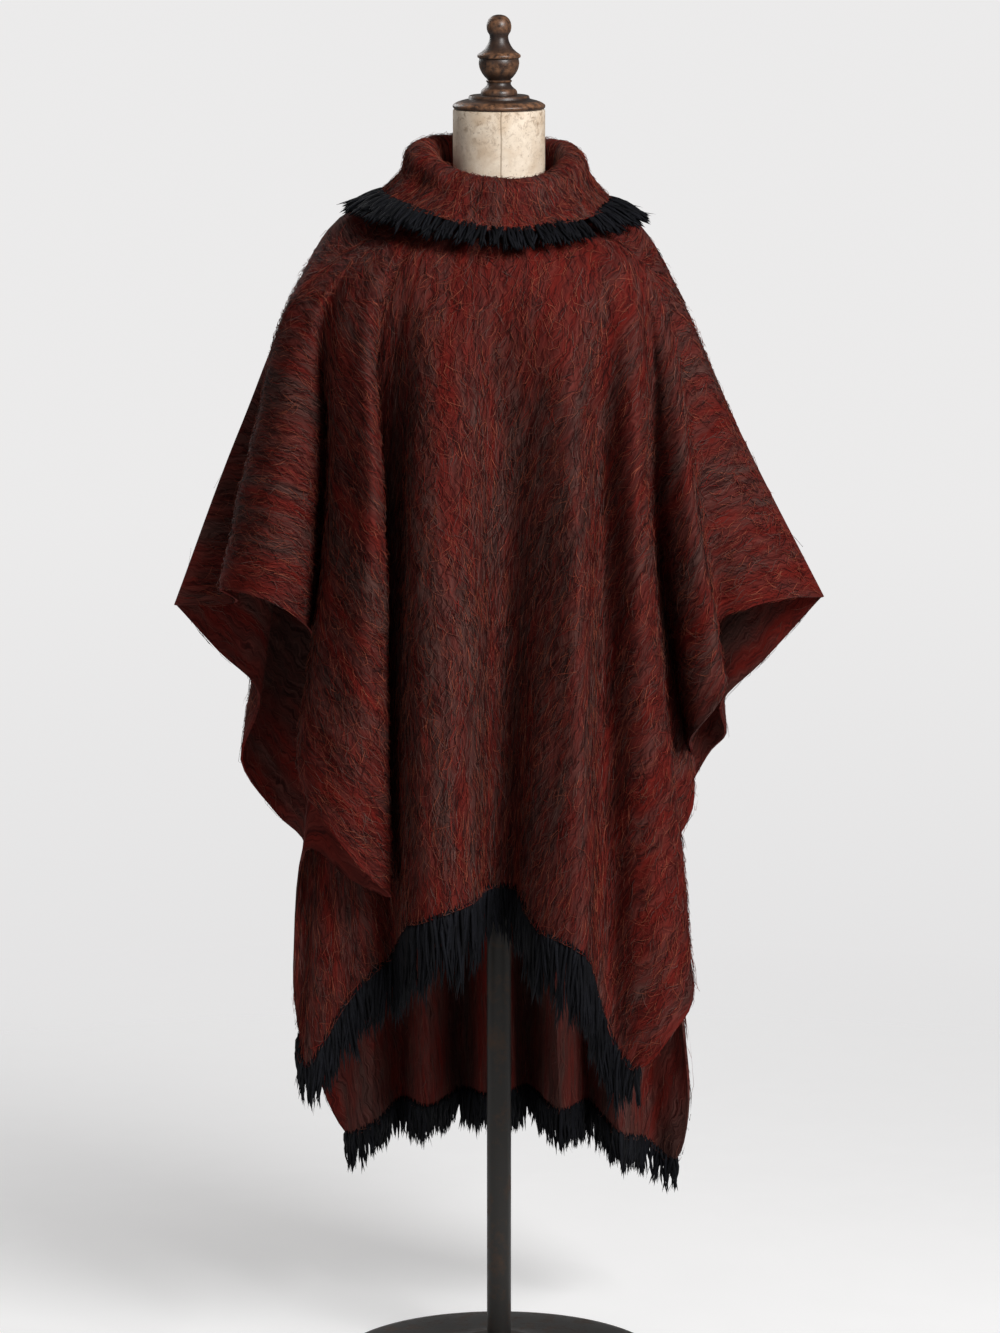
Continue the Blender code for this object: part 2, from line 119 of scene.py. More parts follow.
# ---- back folds, from the left shoulder fold round to the right one ----
BACK_FOLDS = (
    ("shoulder fold left", None, -313, 5, 1172, -395, 10, 955),
    ("sleeve back", -240, -295, 45, 1140, -345, 55, 890),
    ("inner turn", -235, -260, 65, 1115, -295, 80, 830),
    ("back flute edge", -225, -280, 115, 1045, -320, 130, 740),
    ("back flute crest", -210, -250, 165, 1010, -280, 170, 665),
    ("back flute side", -190, -215, 160, 990, -240, 150, 625),
    ("back left valley", -180, -195, 115, 970, -220, 95, 530),
    ("corner fold left", -165, -190, 160, 935, -235, 150, 425),
    ("left selvage low", -150, -175, 190, 935, -230, 175, 330),
    ("back corner left", -135, -155, 185, 935, -195, 170, 255),
    ("back valley 1", -118, -138, 155, 935, -162, 124, 275),
    ("back crest 1", -100, -112, 192, 935, -124, 200, 290),
    ("back valley 2", -75, -80, 150, 935, -88, 94, 305),
    ("back crest 2", -50, -48, 198, 930, -48, 212, 300),
    ("back valley 3", -22, -14, 150, 935, -6, 92, 318),
    ("back crest 3", 5, 20, 200, 930, 36, 215, 302),
    ("back valley 4", 30, 52, 150, 935, 76, 94, 300),
    ("back crest 4", 52, 82, 198, 935, 114, 208, 285),
    ("back valley 5", 78, 108, 150, 935, 150, 100, 270),
    ("back crest 5", 98, 135, 190, 935, 188, 188, 240),
    ("back corner right", 115, 155, 190, 935, 225, 165, 220),
    ("back right selvage", 130, 170, 180, 935, 240, 150, 300),
    ("back right selvage up", 145, 185, 150, 940, 230, 125, 420),
    ("back right valley", 160, 190, 112, 960, 208, 92, 570),
    ("back right crest", 175, 212, 150, 950, 228, 130, 675),
    ("back right side", 185, 235, 150, 990, 258, 128, 745),
    ("back right edge", 190, 255, 110, 1020, 280, 95, 780),
    ("inner turn right", 200, 255, 70, 1075, 275, 70, 825),
    ("sleeve back right", 205, 280, 40, 1115, 325, 45, 880),
    ("shoulder fold right", None, 295, 5, 1160, 395, 10, 965),
)
BACK_CORNERS = ("back corner left", "back corner right")
BACK_FRINGE_DROP = 56.0

# ---- collar, one row every 45 degrees from the right shoulder over the back ----
# radius and height of the foot, the roll's crest, its outer side, the fringed edge
# and the fringe's tips
COLLAR_SECTIONS = (
    (86, 1441, 82, 1511, 108, 1480, 134, 1447, 185, 1424),
    (86, 1442, 85, 1516, 110, 1482, 130, 1444, 172, 1416),
    (86, 1444, 88, 1519, 112, 1485, 126, 1446, 162, 1412),
    (86, 1442, 88, 1521, 112, 1487, 132, 1452, 180, 1424),
    (86, 1440, 90, 1518, 113, 1484, 140, 1457, 192, 1436),
    (86, 1434, 90, 1495, 114, 1468, 140, 1445, 178, 1420),
    (86, 1428, 88, 1481, 112, 1454, 136, 1424, 170, 1404),
    (86, 1434, 84, 1487, 110, 1459, 135, 1433, 172, 1410),
)
INNER_WALL_RADIUS = 74.0


# ---- how the panels hang, millimetres ----
SEAM_GAP = 0.3
CROWN_WIDTH = 5.0
NECK_OPENING_RADIUS = 95.0
NECK_SIDE_HEIGHT = 1447.0
NECK_FRONT_DROP = 17.0
YOKE_HEIGHT = 1343.0
YOKE_SQUARENESS = 2.4
YOKE_LEFT_WIDTH = 262.0
YOKE_RIGHT_WIDTH = 222.0
YOKE_FRONT_DEPTH = 170.0
YOKE_BACK_DEPTH = 128.0
LEFT_SHOULDER = (-205.0, 0.0, 1413.0)
RIGHT_SHOULDER = (180.0, 0.0, 1405.0)
# the gap in the collar's fringe: its place in degrees, its width, and the degrees that
# the tips keep off it
NOTCH_ANGLE = 318.0
NOTCH_WIDTH = 8.0
NOTCH_FLARE = 1.6

# ---- the flat cut, metres: one loom length with a neck opening on the shoulder fold ----
LOOM_WIDTH = 1.40
FRONT_LENGTH = 0.90
BACK_LENGTH = 1.08
NECK_CUT = 0.105
COLLAR_CUT = (0.70, 0.17)

PANEL_COLUMNS_PER_FOLD = 5
PANEL_ROWS_PER_SPAN = (8, 28, 40)
COLLAR_STEPS = 150
COLLAR_ROWS = 34

# hem locks gather in tufts this wide, in metres, by these shares at the tip and half way
TUFT_WIDTH = 0.025
TUFT_TIP_HOLD = 0.86
TUFT_MIDDLE_HOLD = 0.40
# loose wisps, as a share of the nap
WISP_SHARE = 0.20
# how far a fibre takes the cloth's own shading, from 0 to 1
NAP_LIE = 0.72

# dyed fibre colours, linear: what the carded yarn holds, darkest to lightest
CHARCOAL = (0.019, 0.0062, 0.0056)
MAROON = (0.062, 0.0045, 0.0036)
BRICK = (0.165, 0.0155, 0.0105)
RUST = (0.235, 0.058, 0.032)
ASH = (0.112, 0.050, 0.042)


# ------------------------------------------------------------------ settings
class PonchoClothSettings(bpy.types.PropertyGroup):
    thickness: bpy.props.FloatProperty(
        name="Cloth thickness", description="Thickness of the woven ground",
        default=0.003, min=0.001, max=0.004, unit="LENGTH")
    crease_depth: bpy.props.FloatProperty(
        name="Crease depth", description="Height of the soft creases along the warp",
        default=0.0022, min=0.0, max=0.006, unit="LENGTH")
    # the ground colour fills the gaps between the fibres: partly the dark ground yarn, partly painted shade
    ground_and_gap_shade_colour: bpy.props.FloatVectorProperty(
        name="Ground colour", description="Dark yarn seen between the brushed fibres",
        subtype="COLOR", size=3, default=(0.030, 0.007, 0.006), min=0.0, max=1.0)


class PonchoNapSettings(bpy.types.PropertyGroup):
    front_fibres: bpy.props.IntProperty(
        name="Front fibres", description="Raised fibres on the front panel",
        default=34000, min=100, max=48000)
    back_fibres: bpy.props.IntProperty(
        name="Back fibres", description="Raised fibres on the back panel",
        default=11000, min=100, max=16000)
    inner_fibres: bpy.props.IntProperty(
        name="Inner fibres", description="Raised fibres on the inside of the back panel",
        default=5000, min=100, max=16000)
    collar_fibres: bpy.props.IntProperty(
        name="Collar fibres", description="Raised fibres on the collar",
        default=5500, min=100, max=16000)
    fibre_width: bpy.props.FloatProperty(
        name="Fibre width", description="Width of a raised tuft of fibres at its middle",
        default=0.00074, min=0.0002, max=0.002, unit="LENGTH")


class PonchoFringeSettings(bpy.types.PropertyGroup):
    lock_spacing: bpy.props.FloatProperty(
        name="Lock spacing", description="Distance between fringe locks along the hem",
        default=0.0062, min=0.002, max=0.02, unit="LENGTH")
    lock_width: bpy.props.FloatProperty(
        name="Lock width", description="Width of a fringe lock where it leaves the hem",
        default=0.0090, min=0.002, max=0.012, unit="LENGTH")
    yarn_colour: bpy.props.FloatVectorProperty(
        name="Fringe colour", description="Blue-black yarn of the fringes",
        subtype="COLOR", size=3, default=(0.0044, 0.0047, 0.0066), min=0.0, max=1.0)


class DressFormSettings(bpy.types.PropertyGroup):
    turning_steps: bpy.props.IntProperty(
        name="Turning steps", description="Sides round each turned piece",
        default=96, min=16, max=256)
    cover_colour: bpy.props.FloatVectorProperty(
        name="Cover colour", description="Aged cream cover of the form",
        subtype="COLOR", size=3, default=(0.93, 0.80, 0.65), min=0.0, max=1.0)
    wood_colour: bpy.props.FloatVectorProperty(
        name="Wood colour", description="Dark varnish of the turned cap and finial",
        subtype="COLOR", size=3, default=(0.022, 0.012, 0.009), min=0.0, max=1.0)
    iron_colour: bpy.props.FloatVectorProperty(
        name="Iron colour", description="Blackened iron of the pole and base",
        subtype="COLOR", size=3, default=(0.030, 0.028, 0.026), min=0.0, max=1.0)


class StudioSettings(bpy.types.PropertyGroup):
    key_power: bpy.props.FloatProperty(
        name="Key power", description="Power of the large soft key light",
        default=205.0, min=0.0, unit="POWER")
    fill_power: bpy.props.FloatProperty(
        name="Fill power", description="Power of the soft fill light",
        default=9.0, min=0.0, unit="POWER")
    back_power: bpy.props.FloatProperty(
        name="Back power", description="Power of the light on the cloth's back",
        default=60.0, min=0.0, unit="POWER")
    ambient: bpy.props.FloatProperty(
        name="Ambient", description="Strength of the light from the room all round",
        default=0.16, min=0.0)


def settings():
    return bpy.context.scene.poncho


class PonchoSettings(bpy.types.PropertyGroup):
    cloth: bpy.props.PointerProperty(
        type=PonchoClothSettings, name="Cloth", description="Panels and collar")
    nap: bpy.props.PointerProperty(
        type=PonchoNapSettings, name="Nap", description="Raised fibres of the cloth")
    fringe: bpy.props.PointerProperty(
        type=PonchoFringeSettings, name="Fringe", description="Hem and collar fringes")
    form: bpy.props.PointerProperty(
        type=DressFormSettings, name="Dress form", description="Form and stand")
    studio: bpy.props.PointerProperty(
        type=StudioSettings, name="Studio", description="Lights round the part")


# ------------------------------------------------------------------ cloth surfaces
def unit(vectors):
    return vectors / np.maximum(np.linalg.norm(vectors, axis=-1, keepdims=True), 1e-12)


def through(knots, positions):
    """Points at float positions on a smooth curve through knots along the first axis."""
    last = len(knots) - 1
    ends = (2 * knots[:1] - knots[1:2], 2 * knots[-1:] - knots[-2:-1])
    padded = np.concatenate((ends[0], knots, ends[1]))
    index = np.minimum(positions.astype(int), last - 1)
    part = (positions - index).reshape((-1,) + (1,) * (knots.ndim - 1))
    before, start, end, after = (padded[index + step] for step in range(4))
    return 0.5 * (
        2 * start
        + (end - before) * part
        + (2 * before - 5 * start + 4 * end - after) * part ** 2
        + (3 * start - before - 3 * end + after) * part ** 3
    )


def steps_over(spans):
    """Positions along a curve whose spans have the given numbers of steps."""
    parts = [index + np.arange(count) / count for index, count in enumerate(spans)]
    return np.concatenate(parts + [np.array([float(len(spans))])])


def smooth_noise(flat, cell, seed):
    """Smooth random values from 0 to 1 over the flat cut, with cells of the given size."""
    random = np.random.default_rng(seed)
    lattice = random.random((128, 128))
    place = flat / np.array(cell) + 64.0
    index = np.floor(place).astype(int) % 127
    part = place - np.floor(place)
    part = part * part * (3 - 2 * part)
    column, row = index[..., 0], index[..., 1]
    low = lattice[column, row] * (1 - part[..., 0]) + lattice[column + 1, row] * part[..., 0]
    high = lattice[column, row + 1] * (1 - part[..., 0]) + lattice[column + 1, row + 1] * part[..., 0]
    return low * (1 - part[..., 1]) + high * part[..., 1]


def blot(flat, centre, reach):
    """A soft patch of the flat cut, 1 at its centre."""
    away = (flat - np.array(centre)) / np.array(reach)
    return np.exp(-(away ** 2).sum(axis=-1))


def dye_streaks(flat):
    """0 where the carded yarn is ash grey to 1 where it is red, in streaks along the warp."""
    sway = 0.02 * (smooth_noise(flat, (0.16, 0.12), 5) - 0.5)
    bent = flat + np.stack((sway, np.zeros_like(sway)), axis=-1)
    wide = smooth_noise(bent, (0.050, 0.34), 11)
    middle = smooth_noise(bent, (0.019, 0.15), 12)
    fine = smooth_noise(bent, (0.0075, 0.060), 13)
    mixed = 0.36 * wide + 0.36 * middle + 0.28 * fine
    ashen = blot(flat, (0.0, -0.56), (0.17, 0.26)) + 0.5 * blot(np.abs(flat), (0.52, 0.20), (0.12, 0.22))
    ruddy = blot(flat, (0.02, -0.14), (0.22, 0.14)) + 0.3 * blot(flat, (0.52, -0.68), (0.22, 0.26))
    return np.clip(0.5 + 1.9 * (mixed - 0.5) + 0.22 * ruddy - 0.22 * ashen, 0.0, 1.0)


class Drape:
    """A layer of cloth as a grid of points, with its flat cut, its outer side and its grain."""

    def __init__(self, points, flat, side, ring=False):
        self.points = points
        self.flat = flat
        self.ring = ring
        self.down = np.gradient(points, axis=0)
        self.across = np.gradient(points, axis=1)
        if ring:
            around = (points[:, 1] - points[:, -2]) / 2
            self.across[:, 0] = around
            self.across[:, -1] = around
        self.outward = side * unit(np.cross(self.down, self.across))
        slope_down = np.gradient(flat, axis=0)
        slope_across = np.gradient(flat, axis=1)
        spread = slope_across[..., 0] * slope_down[..., 1] - slope_across[..., 1] * slope_down[..., 0]
        spread = np.where(np.abs(spread) < 1e-9, 1e-9, spread)
        self.grain = np.stack((
            np.stack((-slope_across[..., 1], slope_across[..., 0]), axis=-1),
            np.stack((slope_down[..., 1], -slope_down[..., 0]), axis=-1),
        ), axis=-2) / spread[..., None, None]

    def at(self, values, row, column):
        """Values of a grid at float rows and columns."""
        rows, columns = values.shape[:2]
        if self.ring:
            column = column % (columns - 1)
        row = np.clip(row, 0, rows - 1.001)
        column = np.clip(column, 0, columns - 1.001)
        i = row.astype(int)
        j = column.astype(int)
        extra = (1,) * (values.ndim - 2)
        a = (row - i).reshape(row.shape + extra)
        b = (column - j).reshape(row.shape + extra)
        top = values[i, j] * (1 - b) + values[i, j + 1] * b
        foot = values[i + 1, j] * (1 - b) + values[i + 1, j + 1] * b
        return top * (1 - a) + foot * a

    def scatter(self, count, random, first=0.0, last=1.0, above=0.0, below=1.0):
        """Float rows and columns spread evenly over the cloth between two shares of its grid."""
        rows, columns = self.points.shape[:2]
        area = np.linalg.norm(np.cross(self.down, self.across), axis=-1)[:-1, :-1]
        share = np.arange(columns - 1) / (columns - 1)
        level = np.arange(rows - 1) / (rows - 1)
        area = area * ((share >= first) & (share < last))[None, :]
        area = area * ((level >= above) & (level < below))[:, None]
        chance = (area / area.sum()).ravel()
        cell = random.choice(chance.size, size=count, p=chance)
        row = cell // (columns - 1) + random.random(count)
        column = cell % (columns - 1) + random.random(count)
        return row, column


def neck_points(yokes):
    flat = yokes * np.array((1.0, 1.0, 0.0))
    flat = unit(flat)
    front = np.maximum(0.0, -flat[:, 1])
    necks = flat * NECK_OPENING_RADIUS
    necks[:, 2] = NECK_SIDE_HEIGHT - NECK_FRONT_DROP * front
    return necks


def yoke_point(row, depth):
    x = row[1]
    if x is None:
        return LEFT_SHOULDER if row[2] < 0 else RIGHT_SHOULDER
    width = YOKE_LEFT_WIDTH if x < 0 else YOKE_RIGHT_WIDTH
    share = 1.0 - (abs(x) / width) ** YOKE_SQUARENESS
    out = abs(depth) * share ** (1.0 / YOKE_SQUARENESS) - YOKE_DENTS.get(row[0], 0)
    return (x, math.copysign(out, depth), YOKE_HEIGHT)


def panel_drape(table, corners, depth, length, crease_seed):
    """A panel of the poncho as it hangs, and as it lies flat before the neck is cut."""
    side = -1.0 if depth < 0 else 1.0
    yokes = np.array([yoke_point(row, depth) for row in table])
    necks = neck_points(yokes)
    middles = np.array([row[2:5] for row in table], dtype=float)
    rims = np.array([row[5:8] for row in table], dtype=float)
    lines = np.stack((necks, yokes, middles, rims))
    levels = through(lines, steps_over(PANEL_ROWS_PER_SPAN))
    ends = levels[:, [0, -1]].copy()
    levels[:, [0, -1]] += np.array((0.0, side * (SEAM_GAP / 2 + CROWN_WIDTH), 0.0))
    places = steps_over((PANEL_COLUMNS_PER_FOLD,) * (len(table) - 1))
    body = through(levels.transpose(1, 0, 2), places).transpose(1, 0, 2)
    seam = ends + np.array((0.0, side * SEAM_GAP / 2, 0.0))
    points = np.concatenate((seam[:, :1], body, seam[:, 1:]), axis=1) * MM

    names = [row[0] for row in table]
    first, last = (1 + names.index(corner) * PANEL_COLUMNS_PER_FOLD for corner in corners)
    run = np.linalg.norm(np.diff(points[-1], axis=0), axis=1)
    run = np.concatenate(([0.0], np.cumsum(run)))
    half = LOOM_WIDTH / 2
    rim_u = np.interp(run, (run[0], run[first], run[last], run[-1]), (-half, -half, half, half))
    rim_v = np.interp(run, (run[0], run[first], run[last], run[-1]), (0.0, length, length, 0.0))
    heading = unit(points[0, :, :2])
    neck_u = heading[:, 0] * NECK_CUT
    neck_v = np.abs(heading[:, 1]) * NECK_CUT * 0.5
    down = np.linalg.norm(np.diff(points, axis=0), axis=2)
    down = np.concatenate((np.zeros((1, points.shape[1])), np.cumsum(down, axis=0)))
    down = down / down[-1]
    flat = np.stack((
        neck_u * (1 - down) + rim_u * down,
        side * (neck_v * (1 - down) + rim_v * down),
    ), axis=-1)

    drape = Drape(points, flat, -side)
    return add_creases(drape, side, down, crease_seed), (first, last)


def add_creases(drape, side, down, seed):
    """Soft creases along the warp, none under the collar or on the shoulder folds."""
    columns = drape.points.shape[1]
    edge = np.minimum(np.arange(columns), columns - 1 - np.arange(columns)) / 6.0
    keep = np.clip(edge, 0.0, 1.0)[None, :] * np.clip((down - 0.12) / 0.15, 0.0, 1.0)
    wide = smooth_noise(drape.flat, (0.045, 0.36), seed) - 0.5
    small = smooth_noise(drape.flat, (0.022, 0.11), seed + 1) - 0.5
    depth = settings().cloth.crease_depth
    push = depth * (1.6 * wide + 0.7 * small) * keep
    points = drape.points + drape.outward * push[..., None]
    return Drape(points, drape.flat, -side)


def front_drape():
    return panel_drape(FRONT_FOLDS, FRONT_CORNERS, -YOKE_FRONT_DEPTH, FRONT_LENGTH, 31)


def back_drape():
    return panel_drape(BACK_FOLDS, BACK_CORNERS, YOKE_BACK_DEPTH, BACK_LENGTH, 41)


def collar_sections(angles):
    """The collar's radii and heights at angles in degrees, one row each, in millimetres."""
    count = len(COLLAR_SECTIONS)
    sections = np.array(COLLAR_SECTIONS, dtype=float)
    padded = np.concatenate((sections[-1:], sections, sections[:2]))
    return through(padded, 1.0 + (angles % 360.0) / 360.0 * count)


def ring_points(angles, radius, height):
    turn = np.radians(angles)
    return np.stack((radius * np.cos(turn), radius * np.sin(turn), height), axis=-1)


def collar_drape():
    """The rolled collar: up its inner wall, over the crest and down to the fringed edge."""
    angles = NOTCH_ANGLE + 360.0 * np.arange(COLLAR_STEPS + 1) / COLLAR_STEPS
    section = collar_sections(angles).T
    foot_r, foot_z, crest_r, crest_z, side_r, side_z, edge_r, edge_z = section[:8]
    lip = crest_z - 14.0
    inner = np.full_like(foot_r, INNER_WALL_RADIUS)
    path = np.stack((
        ring_points(angles, foot_r, foot_z),
        ring_points(angles, inner, (foot_z + lip) / 2),
        ring_points(angles, inner + 1.0, lip),
        ring_points(angles, crest_r, crest_z),
        ring_points(angles, crest_r + 0.7 * (side_r - crest_r), crest_z - 8.0),
        ring_points(angles, side_r, side_z),
        ring_points(angles, edge_r, edge_z),
    ))
    last = len(path) - 1
    points = through(path, last * np.arange(COLLAR_ROWS + 1) / COLLAR_ROWS) * MM
    down = np.linalg.norm(np.diff(points, axis=0), axis=2)
    down = np.concatenate((np.zeros((1, COLLAR_STEPS + 1)), np.cumsum(down, axis=0)))
    around = np.linspace(0.0, COLLAR_CUT[0], COLLAR_STEPS + 1)
    flat = np.stack((np.broadcast_to(around, down.shape) + 3.0, down), axis=-1)
    drape = Drape(points, flat, 1.0, ring=True)
    level = np.linspace(0.0, 1.0, COLLAR_ROWS + 1)[:, None]
    turn = np.radians(angles)[None, :]
    wave = (
        0.0016 * np.sin(5 * turn + 1.3 + 4 * level)
        + 0.0012 * np.sin(9 * turn + 0.4 - 5 * level)
        + 0.0008 * np.sin(17 * turn + 2.0 + 3 * level)
    )
    push = wave * np.clip((level - 0.45) / 0.2, 0.0, 1.0)
    return Drape(points + drape.outward * push[..., None], flat, 1.0, ring=True)


# ------------------------------------------------------------------ mesh makers
def finish_piece(piece, material, slot_name, *nodes):
    """Gives a piece its material and its place in the frame."""
    piece.data.materials.clear()
    piece.data.materials.append(material)
    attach(piece, "root")
    if nodes:
        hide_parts(*nodes)
        for node in nodes:
            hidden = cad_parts[node]
            hidden.data.materials.clear()
            hidden.data.materials.append(material)
    return piece


def select_only(piece):
    if bpy.context.object and bpy.context.object.mode != "OBJECT":
        bpy.ops.object.mode_set(mode="OBJECT")
    bpy.ops.object.select_all(action="DESELECT")
    bpy.context.view_layer.objects.active = piece
    piece.select_set(True)


def apply_modifiers(piece):
    select_only(piece)
    for modifier in list(piece.modifiers):
        bpy.ops.object.modifier_apply(modifier=modifier.name)


def add_cloth(name, drape, flip, thickness):
    """A shell of the drape, with the flat cut as its UV map and its dye as an attribute."""
    rows, columns = drape.points.shape[:2]
    corner = np.arange((rows - 1) * columns).reshape(rows - 1, columns)[:, :-1].ravel()
    faces = np.stack((corner, corner + columns, corner + columns + 1, corner + 1), axis=1)
    if flip:
        faces = faces[:, ::-1]
    mesh = bpy.data.meshes.new(name)
    mesh.from_pydata(drape.points.reshape(-1, 3), [], faces.tolist())
    cut = mesh.uv_layers.new(name="flat_cut")
    cut.data.foreach_set("uv", drape.flat.reshape(-1, 2)[faces.ravel()].astype(np.float32).ravel())
    dye = mesh.attributes.new("dye", "FLOAT", "POINT")
    dye.data.foreach_set("value", dye_streaks(drape.flat).astype(np.float32).ravel())
    if drape.ring:
        shell = bmesh.new()
        shell.from_mesh(mesh)
        bmesh.ops.remove_doubles(shell, verts=shell.verts, dist=0.00001)
        shell.to_mesh(mesh)
        shell.free()
    mesh.shade_smooth()
    piece = bpy.data.objects.new(name, mesh)
    bpy.context.scene.collection.objects.link(piece)
    wall = piece.modifiers.new("wall", "SOLIDIFY")
    wall.thickness = thickness
    wall.offset = 0.0
    wall.use_even_offset = False
    apply_modifiers(piece)
    bpy.ops.object.shade_smooth_by_angle(angle=math.radians(62))
    return piece


def add_strands(name, paths, radii, facing, sides, colours, lie=None):
    """Closed strands along paths of points, pointed at both ends, each in its own colour.
    lie, the cloth's outer side at each point, makes brushed fibres take light as one surface."""
    count, stations = paths.shape[:2]
    tangent = unit(np.gradient(paths, axis=1))
    sideways = unit(np.cross(tangent, facing[:, None, :]))
    up = np.cross(sideways, tangent)
    rings = stations - 2
    turn = 2 * np.pi * np.arange(sides) / sides
    spoke = (
        np.cos(turn)[None, None, :, None] * sideways[:, 1:-1, None, :]
        + np.sin(turn)[None, None, :, None] * up[:, 1:-1, None, :]
    )
    ring = paths[:, 1:-1, None, :] + spoke * radii[:, 1:-1, None, None]
    points = np.concatenate((
        paths[:, :1], ring.reshape(count, rings * sides, 3), paths[:, -1:],
    ), axis=1)
    each = points.shape[1]
    here = np.arange(sides)
    there = (here + 1) % sides
    root = np.stack((np.zeros(sides, int), 1 + here, 1 + there), axis=1)
    start = 1 + (rings - 1) * sides
    tip = np.stack((start + here, np.full(sides, each - 1), start + there), axis=1)
    quads = [
        np.stack((
            1 + level * sides + here, 1 + (level + 1) * sides + here,
            1 + (level + 1) * sides + there, 1 + level * sides + there,
        ), axis=1)
        for level in range(rings - 1)
    ]
    loops = np.concatenate([root.ravel()] + [quad.ravel() for quad in quads] + [tip.ravel()])
    totals = np.array([3] * sides + [4] * (sides * (rings - 1)) + [3] * sides)
    corners = (np.arange(count)[:, None] * each + loops[None, :]).ravel()
    starts = np.concatenate(([0], np.cumsum(np.tile(totals, count))[:-1]))
    mesh = bpy.data.meshes.new(name)
    mesh.vertices.add(count * each)
    mesh.vertices.foreach_set("co", points.astype(np.float32).ravel())
    mesh.loops.add(len(corners))
    mesh.loops.foreach_set("vertex_index", corners.astype(np.int32))
    mesh.polygons.add(len(starts))
    mesh.polygons.foreach_set("loop_start", starts.astype(np.int32))
    mesh.update(calc_edges=True)
    mesh.shade_smooth()
    dye = mesh.attributes.new("fibre_colour", "FLOAT_COLOR", "POINT")
    full = np.concatenate((colours, np.ones((count, 1))), axis=1)
    dye.data.foreach_set("color", np.repeat(full, each, axis=0).astype(np.float32).ravel())
    if lie is not None:
        round_part = spoke * (1 - NAP_LIE) + lie[:, 1:-1, None, :] * NAP_LIE
        shading = np.concatenate((
            lie[:, :1], round_part.reshape(count, rings * sides, 3), lie[:, -1:],
        ), axis=1)
        mesh.normals_split_custom_set_from_vertices(unit(shading).reshape(-1, 3).tolist())
    piece = bpy.data.objects.new(name, mesh)
    bpy.context.scene.collection.objects.link(piece)
    return piece


def fibre_colours(dye, random):
    """A colour for each fibre, redder where the streak under it is red."""
    count = len(dye)
    palette = np.array((CHARCOAL, MAROON, BRICK, RUST, ASH))
    red = np.array((0.10, 0.34, 0.36, 0.14, 0.06))
    grey = np.array((0.32, 0.20, 0.10, 0.06, 0.32))
    chance = np.cumsum(grey[None, :] * (1 - dye[:, None]) + red[None, :] * dye[:, None], axis=1)
    pick = (random.random(count)[:, None] > chance).sum(axis=1).clip(0, 4)
    return palette[pick] * (0.75 + 0.55 * random.random(count)[:, None])


def brush_nap(name, drape, grain, count, seed, reach=(0.015, 0.040), lift=0.0024, matted=0.0, **where):
    """Raised fibres that lie along the grain, wavy and a little proud of the cloth."""
    random = np.random.default_rng(seed)
    row, column = drape.scatter(count, random, **where)
    root = drape.at(drape.flat, row, column)
    length = random.uniform(reach[0], reach[1], count)
    wisp = random.random(count) < WISP_SHARE
    swirl = 0.8 * (smooth_noise(root, (0.055, 0.09), seed + 50) - 0.5)
    heading = math.atan2(grain[1], grain[0]) + swirl + random.normal(0.0, 0.19, count)
    heading = heading + np.where(wisp, random.normal(0.0, 0.55, count), 0.0)
    curl = random.normal(0.0, 0.30, count) + np.where(wisp, random.normal(0.0, 0.45, count), 0.0)
    wave = random.choice((-1.0, 1.0), count) * random.uniform(0.05, 0.48, count)
    stations = 4
    base = settings().cloth.thickness / 2
    rise = np.array((-0.5, 0.6, 1.0, 0.6)) * lift
    height = rise[None, :] * random.uniform(0.35, 1.25, count)[:, None]
    loft = np.array((0.0, 0.5, 1.1, 1.9)) * lift
    height = height + np.where(wisp, random.uniform(0.2, 1.0, count), 0.0)[:, None] * loft[None, :]
    paths = np.empty((count, stations, 3))
    lie = np.empty((count, stations, 3))
    facing = drape.at(drape.outward, row, column)
    rows = drape.points.shape[0]
    for station in range(stations):
        past = np.maximum(row - (rows - 1), 0.0)
        place = drape.at(drape.points, row, column) + drape.at(drape.down, row, column) * past[:, None]
        normal = unit(drape.at(drape.outward, row, column))
        lie[:, station] = normal
        paths[:, station] = place + normal * (base + height[:, station])[:, None]
        turned = heading + curl * station + wave * np.sin(2.1 * station)
        step = drape.at(drape.grain, row, column)
        direction = np.stack((np.cos(turned), np.sin(turned)), axis=-1)
        move = np.einsum("nij,nj->ni", step, direction)
        slope = (
            drape.at(drape.down, row, column) * move[:, :1]
            + drape.at(drape.across, row, column) * move[:, 1:]
        )
        pace = length / (stations - 1) / np.maximum(np.linalg.norm(slope, axis=1), 1e-9)
        row = np.maximum(row + move[:, 0] * pace, 0.0)
        row = np.minimum(row, rows - 1 + 0.3)
        column = column + move[:, 1] * pace
        if not drape.ring:
            column = np.clip(column, 0.0, drape.points.shape[1] - 1.001)
    body = np.array((0.0, 1.0, 0.9, 0.0))
    width = settings().nap.fibre_width / 2 * random.uniform(0.55, 1.15, count)
    radii = body[None, :] * width[:, None]
    colours = fibre_colours(dye_streaks(root), random)
    pale = 0.45 * colours + 0.60 * np.array(RUST)
    colours = np.where(wisp[:, None], pale, 0.96 * colours)
    colours = (1 - matted) * colours + matted * np.array(ASH)
    radii = np.where(wisp[:, None], 0.72 * radii, 1.06 * radii)
    return add_strands(name, paths, radii, facing, 3, colours, lie)


def bezier(start, middle, end, stations):
    t = np.linspace(0.0, 1.0, stations)[None, :, None]
    return (1 - t) ** 2 * start[:, None] + 2 * t * (1 - t) * middle[:, None] + t ** 2 * end[:, None]


